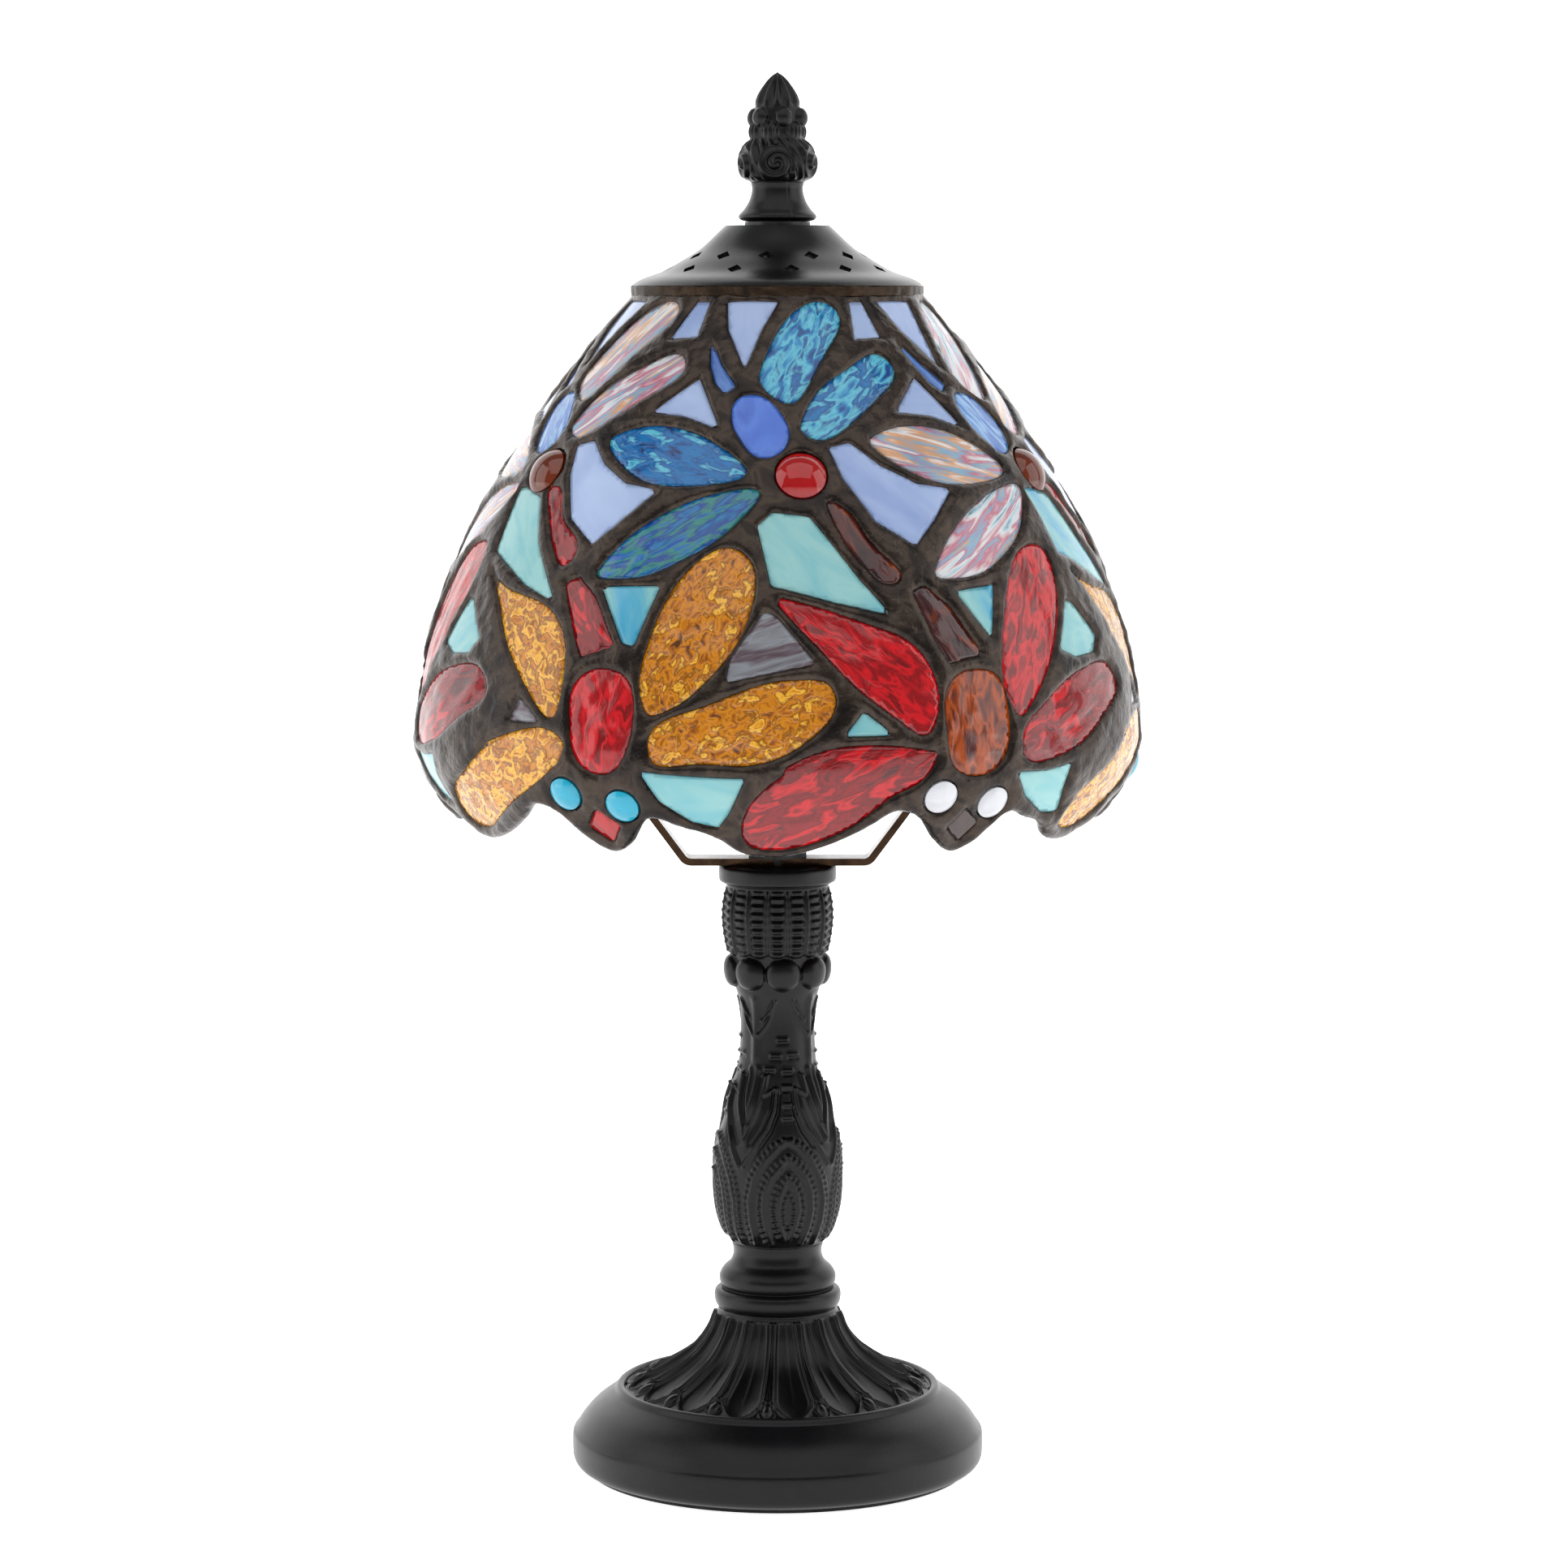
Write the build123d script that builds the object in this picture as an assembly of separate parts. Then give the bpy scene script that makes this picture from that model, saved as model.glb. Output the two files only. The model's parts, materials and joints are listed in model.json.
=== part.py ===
from build123d import *
import os
from math import asin, atan2, cos, degrees, radians, sin, sqrt

# Table lamp with a leaded dragonfly shade. Millimetres, +Z up, the front is -Y.
# The origin is the middle of the underside.

# ---- driving dimensions ----
SHADE_RADIUS = 100.3    # glass, at its widest
EQUATOR_Z = 208.0       # height of the widest ring
SHADE_TOP_Z = 329.4     # where the leading stops under the vent cap
SHADE_LOW_Z = 179.0     # lower end of the blank that the scalloped border is cut from
SHADE_STEPS = 12        # points on the dome's profile
GLASS_THICK = 3.0
LEAD_PROUD = 1.2        # how far the leading stands out of the glass, inside and outside
GLASS_FIT = 0.997       # glass size over opening size, which leaves the foil's thickness
PANELS = 6
PANEL_ARC = 360.0 / PANELS
FIRST_JEWEL = 4.5       # direction of the front jewel, in degrees to the right of the front
PANEL_START = -22.0     # where a panel's leading begins, in degrees from its jewel
GLASS_START = -70.0     # where the blank for a panel's glass begins, in degrees from its jewel
GLASS_ARC = 150.0
CUT_DEPTH = 12.0        # half length of the prisms that cut the openings
SCREEN = 140.0          # distance from the axis at which the border is laid out flat

FOOT_RADIUS = 57.9
FELT_THICK = 1.5
FELT_RADIUS = 53.5
CAVITY_RADIUS = 54.0
TUBE_RADIUS = 5.0       # M10 threaded tube
TUBE_BORE = 3.6
TUBE_LOW_Z = 21.0
TUBE_TOP_Z = 183.0
TUBE_HOLE = 5.1
JOINT_Z = 51.6          # foot meets column
COLUMN_TOP_Z = 166.5
COLLAR_TOP_Z = 171.5
COLLAR_RADIUS = 16.4
STRAP_THICK = 2.0
STRAP_WIDTH = 10.0
STRAP_TOP_Z = 345.4     # middle of the strap under the vent cap
STUD_RADIUS = 3.0
STUD_LOW_Z = 338.0
STUD_TOP_Z = 357.6
RUNNING = 0.06          # radial clearance of a turning or sliding fit
SEAT = 0.05             # axial gap between pieces that move apart
CAP_TOP_Z = 348.6
CAP_THICK = 1.0
FINIAL_LOW_Z = 349.65
INSERT_RADIUS = 4.6
INSERT_TOP_Z = 358.0
HOLDER_LOW_Z = 176.4    # underside of the lampholder
HOLDER_RADIUS = 14.0
SHELL_LOW_Z = 201.0
SHELL_TOP_Z = 222.0
SHELL_THICK = 0.55
BULB_CAP_RADIUS = 6.95  # E14
PIP_LOW_Z = 201.3
BULB_RADIUS = 22.5
BULB_CENTRE_Z = 254.0
CORD_Z = 8.0            # height of the cord gland in the back of the foot
CORD_RADIUS = 2.6

os.makedirs("parts", exist_ok=True)


def save(name, solids):
    shape = Compound(children=list(solids)) if len(solids) > 1 else solids[0]
    export_step(shape, "parts/" + name + ".step")


# ---- turned pieces ----
def turned(points):
    """Solid of revolution of a closed outline of (radius, height) points."""
    return revolve(Plane.XZ * make_face(Polyline(*points, close=True)), Axis.Z)


def turned_curve(curve, rest):
    """Solid of revolution: a smooth curve of (radius, height) points, closed by straight lines."""
    outline = [Spline(*curve), Polyline(curve[-1], *rest, curve[0])]
    return revolve(Plane.XZ * make_face(outline), Axis.Z)


def ring(r_in, r_out, z_low, z_high):
    return turned([(r_in, z_low), (r_out, z_low), (r_out, z_high), (r_in, z_high)])


def disc(radius, z_low, z_high):
    return Pos(0, 0, (z_low + z_high) / 2) * Cylinder(radius, z_high - z_low)


def hexagon(across_flats, bore, z_low, z_high):
    outside = extrude(Pos(0, 0, z_low) * RegularPolygon(across_flats / sqrt(3), 6), z_high - z_low)
    return outside - disc(bore, z_low - 1, z_high + 1)


def around(shape, count, start=0.0):
    return [Rot(0, 0, start + 360.0 * i / count) * shape for i in range(count)]


# ---- the foot and what is under it ----
def foot_casting():
    flare = [(17.6, 43.6), (19.6, 39), (24.2, 33), (32, 27.6), (40, 23.8), (43, 23.2)]
    dome = [(45.6, 22.6), (51.5, 18), (54.5, 14.8), (57.0, 11.4)]
    wall = [(FOOT_RADIUS, 10.2), (FOOT_RADIUS, 4.5), (57.2, 2.6), (55.6, FELT_THICK)]
    under = [(CAVITY_RADIUS, FELT_THICK), (CAVITY_RADIUS, 9.5), (52, 13), (46, 17.5), (30, 22), (16, 26),
             (11, 31)]
    neck = [(TUBE_HOLE, 31), (TUBE_HOLE, JOINT_Z)]
    torus = [(16.6, JOINT_Z), (17.7, 50.2), (17.2, 47), (16.4, 45.6), (17.6, 43.6)]
    outline = [
        Polyline(*torus),
        Spline(*flare),
        Line(flare[-1], (44.2, 23.6)),
        Line((44.2, 23.6), dome[0]),
        Spline(*dome),
        Polyline(dome[-1], *wall, *under, *neck, torus[0]),
    ]
    body = revolve(Plane.XZ * make_face(outline), Axis.Z)
    gland_hole = Pos(0, FOOT_RADIUS, CORD_Z) * Rot(90, 0, 0) * Cylinder(3.95, 16)
    return body - gland_hole


def base_weight():
    iron = turned([(14, FELT_THICK), (53.9, FELT_THICK), (53.9, 8), (46, 14), (14, 14)])
    return iron - Pos(0, 35, 9) * Box(8, 50, 12)


def cord_gland():
    barrel = Cylinder(3.9, 5) + Pos(0, 0, 3.2) * Cylinder(5.2, 1.4)
    gland = barrel - Cylinder(CORD_RADIUS, 20)
    return Pos(0, 55.5, CORD_Z) * Rot(-90, 0, 0) * gland


# ---- the column ----
def column():
    basket = [(15.0, COLUMN_TOP_Z), (14.6, 163.9), (15.6, 157), (14.7, 150), (13.5, 145.6)]
    bead = [(13.5, 145.6), (13.6, 143.6), (14.6, 141), (13.4, 138), (12.2, 135.4)]
    shaft = [(12.2, 135.4), (10.5, 131), (10.4, 126), (10.7, 118), (11.4, 112.5), (13.6, 108.4),
             (15.2, 101), (17.2, 94.4), (18.0, 86), (17.6, 78), (16.2, 71.2), (13.2, 65), (12.4, 62),
             (13.0, 59.4), (15.4, 57), (16.4, 54.2), (15.8, JOINT_Z)]
    outline = [Spline(*basket), Spline(*bead), Spline(*shaft)]
    outline.append(Polyline(shaft[-1], (TUBE_HOLE, JOINT_Z), (TUBE_HOLE, COLUMN_TOP_Z), basket[0]))
    body = revolve(Plane.XZ * make_face(outline), Axis.Z)
    balls = around(Pos(12.6, 0, 140.6) * Sphere(3.0), 8, PANEL_START)
    grooves = around(Pos(16.2, 0, 155.5) * Cylinder(1.1, 19), 16)
    return body + balls - grooves


# ---- harp: one bent strap from the column to the vent cap ----
def harp_strap():
    corners = [(0, 172.5), (25.5, 172.5), (37, 188), (52, 216), (53, 258), (38, 306), (17, 334),
               (9, STRAP_TOP_Z), (0, STRAP_TOP_Z)]
    bends = [3, 40, 45, 70, 60, 40, 3]
    half = Plane.XZ * trace(FilletPolyline(*corners, radius=bends), STRAP_THICK)
    side = extrude(half, STRAP_WIDTH / 2, both=True)
    strap = side + mirror(side, Plane.YZ)
    return strap - disc(TUBE_HOLE, 160, 180) - disc(STUD_RADIUS + 0.02, 340, 350)


# ---- lampholder ----
def lampholder_cap():
    return turned([(TUBE_HOLE, HOLDER_LOW_Z), (9, HOLDER_LOW_Z), (HOLDER_RADIUS, 181),
                   (HOLDER_RADIUS, 191), (12.4, 191), (12.4, 182), (8.4, 178.2), (TUBE_HOLE, 178.2)])


def lampholder_sleeve():
    r_shell = BULB_CAP_RADIUS + RUNNING + 0.6
    body = turned([(13.2, 191), (HOLDER_RADIUS, 191), (HOLDER_RADIUS, 222), (12.6, 224.5),
                   (r_shell, 224.5), (r_shell, 199.6), (13.2, 199.6)])
    grips = around(Pos(HOLDER_RADIUS + 0.3, 0, 207) * Box(1.0, 1.2, 24), 24)
    return body + grips


def lampholder_insulator():
    block = disc(13.1, 191, 199.5) - disc(3.0, 190, 194)
    screw_holes = [Pos(x, 0, 196) * Cylinder(1.55, 20) for x in (-8, 8)]
    return block - screw_holes


def lampholder_shell():
    r_in = BULB_CAP_RADIUS + RUNNING
    return ring(r_in, r_in + SHELL_THICK, SHELL_LOW_Z, SHELL_TOP_Z)


def terminal_screws():
    screw = disc(1.5, 186.5, 191) + disc(2.6, 184.5, 186.5)
    return [Pos(x, 0, 0) * screw for x in (-8, 8)]


def centre_contact():
    return disc(3.2, 199.5, PIP_LOW_Z - SEAT)


# ---- bulb ----
def bulb_glass():
    neck = [(6.6, 226), (7.4, 231), (11.5, 237.5)]
    outer = neck + [(19.5, 243), (BULB_RADIUS, BULB_CENTRE_Z), (19.5, 265), (11.5, 273.4), (0, 276.5)]
    wall = 0.8
    inner = [(0, 276.5 - wall), (11.2, 272.7), (18.8, 264.6), (BULB_RADIUS - wall, BULB_CENTRE_Z),
             (18.8, 243.4), (10.9, 238.1), (6.7, 231.2), (5.8, 226)]
    outline = [Spline(*outer), Line(outer[-1], inner[0]), Spline(*inner), Line(inner[-1], outer[0])]
    return revolve(Plane.XZ * make_face(outline), Axis.Z)


def bulb_cap():
    return turned([(5.6, 207.5), (BULB_CAP_RADIUS, 207.5), (BULB_CAP_RADIUS, 224), (7.0, 226),
                   (5.6, 226)])


def bulb_insulator():
    return turned([(0, 204), (3.2, 204), (BULB_CAP_RADIUS - 0.6, 207.5), (0, 207.5)])


def bulb_stem():
    return turned([(0, 226), (5.6, 226), (5.6, 227.5), (2.4, 231), (2.4, 241), (0, 242)])


def bulb_filament():
    posts = [Pos(x, 0, 0) * disc(0.35, 242, 256) for x in (-1.2, 1.2)]
    coil = Pos(0, 0, 256.4) * Rot(0, 90, 0) * Cylinder(0.8, 16)
    return posts[0] + posts[1] + coil + disc(2.0, 242, 243)


# ---- vent cap and finial ----
def vent_cap():
    outer = [(14.4, CAP_TOP_Z), (17.6, 345.6), (21.6, 342), (26.6, 338.9), (32, 335.9), (37.6, 333.9),
             (40.2, 332.2)]
    inner = [(39.1, 332.2), (37.0, 333.0), (31.5, 334.9), (26.0, 338.0), (21.0, 341.0), (17.0, 344.6),
             (13.9, CAP_TOP_Z - CAP_THICK)]
    bore = STUD_RADIUS + 2 * SEAT
    outline = [Spline(*outer), Line(outer[-1], inner[0]), Spline(*inner),
               Polyline(inner[-1], (bore, CAP_TOP_Z - CAP_THICK), (bore, CAP_TOP_Z), outer[0])]
    sheet = revolve(Plane.XZ * make_face(outline), Axis.Z)
    slope = degrees(atan2(337.0 - 341.5, 30.0 - 22.5))
    holes = []
    for radius, z, start in ((24.2, 340.4, -7.5), (30.4, 337.0, 7.5)):
        diamond = Rot(0, 0, 45) * Box(3.1, 3.1, 7)
        placed = Pos(0, -radius, z) * Rot(-slope, 0, 0) * diamond
        holes += around(placed, 12, start)
    return sheet - holes


def finial():
    skin = [(8.6, FINIAL_LOW_Z), (10.7, 351.4), (9.0, 353.2), (7.4, 356), (7.0, 358.5), (7.6, 360.6),
            (10, 363), (10.9, 366.4), (10.0, 369.8), (7.6, 371.8), (7.1, 373.6), (7.9, 376), (8.4, 378),
            (7.4, 380.2), (6.1, 381.8), (5.6, 384), (4.2, 386.8), (2.2, 389.2), (0, 390.5)]
    hollow = [(0, 364), (INSERT_RADIUS + RUNNING, 360.5), (INSERT_RADIUS + RUNNING, FINIAL_LOW_Z)]
    return turned_curve(skin, hollow)


# ---- the shade ----
def dome_radius(z):
    """Outer radius of the glass at a height: flat-topped above the widest ring, tucked in below it."""
    if z > EQUATOR_Z:
        return SHADE_RADIUS - 0.0094 * (z - EQUATOR_Z) ** 1.83
    return SHADE_RADIUS - 0.077 * (EQUATOR_Z - z) ** 1.6


def dome_tilt(z):
    """How far the outward normal points up, in radians."""
    step = 0.5
    return atan2(dome_radius(z - step) - dome_radius(z + step), 2 * step)


def profile_point(z, out):
    tilt = dome_tilt(z)
    return (dome_radius(z) + out * cos(tilt), z + out * sin(tilt))


def on_dome(angle, z):
    """Point of the glass's outside, from an angle to the right of the front and a height."""
    a = radians(angle)
    r = dome_radius(z)
    return Vector(r * sin(a), -r * cos(a), z)


def dome_plane(angle, z):
    """Plane that touches the dome at a point, facing out, with its x axis level."""
    a = radians(angle)
    tilt = dome_tilt(z)
    normal = Vector(sin(a) * cos(tilt), -cos(a) * cos(tilt), sin(tilt))
    return Plane(origin=on_dome(angle, z), x_dir=Vector(cos(a), sin(a), 0), z_dir=normal)


def dome_blank(out_high, out_low, arc=360):
    """The dome as a shell between two distances from the outside of the glass."""
    top = SHADE_TOP_Z + 8
    heights = [SHADE_LOW_Z + (top - SHADE_LOW_Z) * i / SHADE_STEPS for i in range(SHADE_STEPS + 1)]
    outer = [profile_point(z, out_high) for z in heights]
    inner = [profile_point(z, out_low) for z in reversed(heights)]
    outline = [Spline(*outer), Line(outer[-1], inner[0]), Spline(*inner), Line(inner[-1], outer[0])]
    shell = revolve(Plane.XZ * make_face(outline), Axis.Z, revolution_arc=arc)
    return shell - Pos(0, 0, SHADE_TOP_Z + 30) * Box(300, 300, 60)


def prism(points, rounded, fit=1.0, depth=CUT_DEPTH):
    """Straight-sided cutter through the dome, from an outline of (angle, height) points."""
    angle = sum(p[0] for p in points) / len(points)
    height = sum(p[1] for p in points) / len(points)
    plane = dome_plane(angle, height)
    flat = [plane.to_local_coords(on_dome(*p)) for p in points]
    flat = [(p.X * fit, p.Y * fit) for p in flat]
    edge = Spline(*flat, periodic=True) if rounded else Polyline(*flat, close=True)
    return plane.location * extrude(make_face(edge), depth, both=True)


# Outlines of the glass, as (degrees to the right of the panel's jewel, height).
# The upper dragonfly and the sky are the same in every panel.
UPPER_ROUND = {
    "body": [(-15, 298), (-12, 303.3), (-8.5, 303), (-4, 299), (-2, 294), (-4, 288.7), (-8, 287.5),
             (-13, 293)],
    "wing_top": [(-9, 309), (-7, 304.5), (-1, 301.5), (3, 305.5), (10, 315), (16.5, 326), (13, 327.6),
                 (5, 326.6), (-4, 320)],
    "wing_right": [(1, 295.5), (8, 306), (17, 311), (27, 313.4), (29, 311), (21.5, 303), (11, 295),
                   (3.5, 292.3)],
    "wing_left": [(-43, 292.5), (-35, 295), (-24, 293.7), (-15.5, 289), (-10.8, 283.5), (-19, 280.5),
                  (-29, 280.5), (-38, 285)],
    "wing_low": [(-36.5, 258), (-30.5, 268.3), (-22, 275.4), (-13.5, 278.8), (-8, 278.6), (-10.5, 273),
                 (-17, 264.8), (-24, 259.2), (-32, 256.3)],
}
UPPER_STRAIGHT = {
    "tail": [(-25, 317), (-23.2, 315.2), (-20.2, 311), (-15.3, 305.6), (-17.8, 304), (-20.6, 306.6),
             (-23, 311)],
    "sky_gap": [(-36, 327.6), (-31, 327.6), (-30.6, 318.5), (-39.6, 318)],
    "sky_top": [(-23.2, 327.6), (-4.5, 327.6), (-10, 320), (-13.4, 310.6), (-20.3, 320.5)],
    "sky_left": [(-35, 298.9), (-25.3, 307.4), (-17.8, 294.7), (-26, 297.9)],
    "sky_low": [(-53.3, 289.8), (-48.8, 291), (-43, 285), (-36, 280.3), (-28.5, 278.7), (-34.5, 271),
                (-39.3, 264.8), (-46, 271), (-51.2, 282)],
}
# The lower dragonflies: one kind hangs from the red jewels, the other from the amber ones.
LOWER_RED_ROUND = {
    "wing_1": [(-3.4, 251.5), (4, 248.3), (10.4, 244.6), (16.8, 240), (20, 232.6), (20.2, 221),
               (18.6, 216.8), (14.4, 220.2), (7.5, 229.4), (1.5, 240.3)],
    "wing_2": [(34.9, 220.8), (33, 228.1), (33.9, 239.2), (36.8, 250.3), (41, 259.5), (45.6, 263.2),
               (50.4, 262.5), (51.2, 256), (48.2, 244.5), (43.2, 232.4), (38, 223)],
    "wing_3": [(19.4, 210.3), (11, 212.6), (1.1, 210.6), (-5.8, 203.6), (-9.8, 194), (-9.2, 187.7),
               (-4, 186.3), (1.5, 188.2), (8, 193.6), (14, 201.6), (18.8, 207)],
    "wing_4": [(35.6, 211.5), (36.4, 217), (40, 221.6), (46, 227.4), (54, 231), (62, 230), (64, 226),
               (58.5, 219), (50.8, 212.4), (42.5, 208.4)],
    "segment_1": [(6.2, 276), (8.6, 273.6), (13.4, 263.4), (16.6, 256.2), (14.8, 255.2), (11, 259),
                  (8, 265)],
    "thorax": [(22.8, 229), (25, 231.8), (28.2, 232.6), (31.4, 231), (33, 222), (32.2, 211),
               (29.5, 206.2), (26, 205.4), (23.2, 207.6), (21.9, 218)],
}
LOWER_RED_STRAIGHT = {
    "segment_2": [(18.6, 253), (20.8, 254.4), (24.6, 249), (29.3, 236.6), (23.2, 234.6), (21.2, 241)],
    "ground_left": [(-8, 270), (-5.4, 273.3), (1.4, 272.2), (5, 265.4), (9.4, 256), (14, 247.4),
                    (5, 250.8), (-5.4, 255)],
    "ground_mid": [(26.6, 252.6), (34.4, 253.8), (31.8, 240.6)],
    "ground_side": [(-6.4, 248.4), (-4.6, 247), (1.4, 235.2), (-5, 233.2), (-12.2, 230.6),
                    (-11.6, 236.4)],
    "ground_small": [(8.6, 222.6), (12.9, 216.8), (5.8, 216.8)],
    "ground_low": [(34.8, 205.2), (41, 204.8), (46.6, 206), (46.2, 200), (47.4, 192.8), (43, 193.6),
                   (37.6, 198.8)],
}
LOWER_AMBER_ROUND = {
    "wing_1": [(-2.6, 256), (7.8, 250.6), (16.6, 246), (19.4, 240.3), (20.4, 228.1), (19.2, 220),
               (14.2, 225.9), (5.6, 241.4), (0.8, 251)],
    "wing_2": [(35.4, 222.8), (34.2, 229.2), (34.9, 239.2), (37.1, 250.3), (42, 261), (47, 264.3),
               (50.6, 261.5), (51.4, 250.3), (48.7, 239.2), (43.5, 228.9), (38.6, 223)],
    "wing_3": [(21, 212.4), (18.6, 215.2), (11.2, 214), (4.2, 209.6), (-2.6, 202.4), (-8.6, 196.6),
               (-9.6, 189.6), (-5, 187.2), (2, 190.6), (10.4, 197.8), (18, 205)],
    "wing_4": [(36.2, 211.6), (36.4, 217), (43.5, 223.4), (53, 229.6), (60, 231), (63.4, 229.6),
               (64.2, 224.6), (61.2, 217.4), (57, 212.4), (51, 209.4), (42, 209.4)],
    "segment_1": [(4.9, 279), (7, 278.6), (11.8, 270.6), (17.6, 262.4), (16.4, 259.2), (11.4, 264.4),
                  (7, 272.6)],
    "thorax": [(23.2, 229.6), (27.4, 233), (31.8, 230.6), (33.3, 222), (32.3, 212), (30.2, 207),
               (27.2, 206.2), (24, 210), (22.6, 220)],
}
LOWER_AMBER_STRAIGHT = {
    "segment_2": [(17.4, 254.4), (19.9, 256), (24, 251.2), (29, 239), (23.3, 236), (21.2, 242.4)],
    "ground_left": [(-6.6, 277.6), (-5, 278.2), (2.6, 275.8), (7.4, 264.3), (15.6, 249.6), (7.8, 253.6),
                    (-4.6, 261.5)],
    "ground_mid": [(25.2, 253.7), (35.6, 254.4), (32.4, 239.4), (30.6, 239.8)],
    "ground_side": [(-8, 248.4), (-6.4, 248), (-1, 238.6), (-3.2, 234.8), (-9, 234), (-13, 236.5)],
    "ground_small": [(12.2, 224.2), (16.8, 218.4), (10.6, 218.4)],
    "ground_low": [(34.8, 206.8), (42, 206), (50.6, 205.6), (48, 196.4), (46.2, 192.6), (42.2, 194),
                   (37.4, 199.4)],
}
JEWEL_AT = (0.3, 282.7)
JEWEL_RADIUS = 6.6
JEWEL_HEIGHT = 3.4
EYES_AT = [(21.2, 200), (31, 197.6)]
EYE_RADIUS = 4.6
EYE_HEIGHT = 2.0
NOSE = [(26.2, 196.2), (29.6, 192), (27.2, 187.2), (23.8, 191.4)]
# Lower edge of the leading, once round a panel.
BORDER = [(-11.2, 185.4), (-6, 183.7), (1, 185.5), (9.5, 191.2), (14.5, 196), (18.4, 194), (22, 188),
          (26.6, 183.9), (30.4, 186.4), (34.6, 193.6), (40, 191.8), (45, 189.4)]
# Sub-part that each piece of glass goes to, in a panel with a red jewel and in one with an amber jewel.
UPPER_WINGS = ("upper_wings_blue", "upper_wings_iridescent")
LOWER_WINGS = ("lower_wings_red", "lower_wings_amber")
LOWER_BODIES = ("lower_bodies_brown", "lower_bodies_red")
SKY = ("sky_panes_periwinkle", "sky_panes_periwinkle")
GROUND = ("ground_panes_aqua", "ground_panes_aqua")
GLASS_NODES = {
    "body": ("upper_bodies_violet", "upper_bodies_streaky"),
    "tail": ("upper_tails_blue", "upper_tails_blue"),
    "wing_low": ("upper_wings_peacock", "upper_wings_iridescent"),
    "ground_side": ("ground_panes_grey", "ground_panes_aqua"),
    "ground_small": ("ground_panes_aqua", "ground_panes_grey"),
    "nose": ("noses_dark", "noses_red"),
    "jewel": ("jewels_red", "jewels_amber"),
    "eye": ("eyes_clear", "eyes_cyan"),
}
GLASS_NODES.update(dict.fromkeys(("wing_top", "wing_right", "wing_left"), UPPER_WINGS))
GLASS_NODES.update(dict.fromkeys(("wing_1", "wing_2", "wing_3", "wing_4"), LOWER_WINGS))
GLASS_NODES.update(dict.fromkeys(("thorax", "segment_1", "segment_2"), LOWER_BODIES))
GLASS_NODES.update(dict.fromkeys(("sky_gap", "sky_top", "sky_left", "sky_low"), SKY))
GLASS_NODES.update(dict.fromkeys(("ground_left", "ground_mid", "ground_low"), GROUND))


def cabochon(at, radius, height):
    """Domed round glass jewel standing out of the leading, with its round cutter."""
    low = -GLASS_THICK
    rim = 0.4
    rise = height - rim
    ball = (radius ** 2 + rise ** 2) / (2 * rise)
    half = asin(radius / ball) / 2
    arc = ThreePointArc((radius, rim), (ball * sin(half), height - ball + ball * cos(half)), (0, height))
    outline = [arc, Polyline((0, height), (0, low), (radius, low), (radius, rim))]
    gem = revolve(Plane.XZ * make_face(outline), Axis.Z)
    cutter = Cylinder(radius / GLASS_FIT, 2 * CUT_DEPTH)
    place = dome_plane(*at).location
    return place * gem, place * cutter


def border_cutter():
    """Everything below the scalloped lower edge of one panel, as rays from the middle of the shade."""
    middle = radians(PANEL_START + PANEL_ARC / 2)
    toward = Vector(sin(middle), -cos(middle), 0)
    hub = Vector(0, 0, EQUATOR_Z)
    screen = Plane(origin=hub + toward * SCREEN, x_dir=Vector(cos(middle), sin(middle), 0), z_dir=toward)
    edge = []
    for turn in (-PANEL_ARC, 0, PANEL_ARC):
        for angle, z in BORDER:
            if PANEL_START - 8 < angle + turn < PANEL_START + PANEL_ARC + 8:
                ray = on_dome(angle + turn, z) - hub
                spot = screen.to_local_coords(hub + ray * (SCREEN / ray.dot(toward)))
                edge.append((spot.X, spot.Y))
    floor = [(edge[-1][0], -SCREEN), (edge[0][0], -SCREEN)]
    outline = [Spline(*edge), Polyline(edge[-1], *floor, edge[0])]
    face = screen.location * make_face(outline)
    return loft([face.face(), Vertex(hub.X, hub.Y, hub.Z)])


def panel_outlines(kind):
    """Every piece of glass of one panel: name, outline and whether its edge is rounded."""
    rounds, straights = (LOWER_RED_ROUND, LOWER_RED_STRAIGHT)
    if kind == "amber":
        rounds, straights = (LOWER_AMBER_ROUND, LOWER_AMBER_STRAIGHT)
    pieces = [(name, points, True) for group in (UPPER_ROUND, rounds) for name, points in group.items()]
    for group in (UPPER_STRAIGHT, straights):
        pieces += [(name, points, False) for name, points in group.items()]
    return pieces + [("nose", NOSE, False)]


def panel_glass(kind):
    """The glass of one panel, with its jewel in front, as (name, solid) pairs."""
    blank = Rot(0, 0, GLASS_START - 90) * dome_blank(0, -GLASS_THICK, GLASS_ARC)
    panes = []
    for name, points, rounded in panel_outlines(kind):
        pane = blank & prism(points, rounded, GLASS_FIT)
        panes.append((name, pane.solids()[0]))
    panes.append(("jewel", cabochon(JEWEL_AT, JEWEL_RADIUS, JEWEL_HEIGHT)[0].solids()[0]))
    for at in EYES_AT:
        panes.append(("eye", cabochon(at, EYE_RADIUS, EYE_HEIGHT)[0].solids()[0]))
    return panes


def panel_cutters(kind, turn):
    """The openings of a panel that reach into the panel in front."""
    first, last = PANEL_START - turn, PANEL_START + PANEL_ARC - turn
    cutters = []
    for name, points, rounded in panel_outlines(kind):
        angles = [p[0] for p in points]
        if max(angles) + 3 > first and min(angles) - 3 < last:
            cutters.append(Rot(0, 0, turn) * prism(points, rounded))
    for at, radius in [(JEWEL_AT, JEWEL_RADIUS)] + [(at, EYE_RADIUS) for at in EYES_AT]:
        if first - 6 < at[0] < last + 6:
            cutters.append(Rot(0, 0, turn) * cabochon(at, radius, EYE_HEIGHT)[1])
    return cutters


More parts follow.
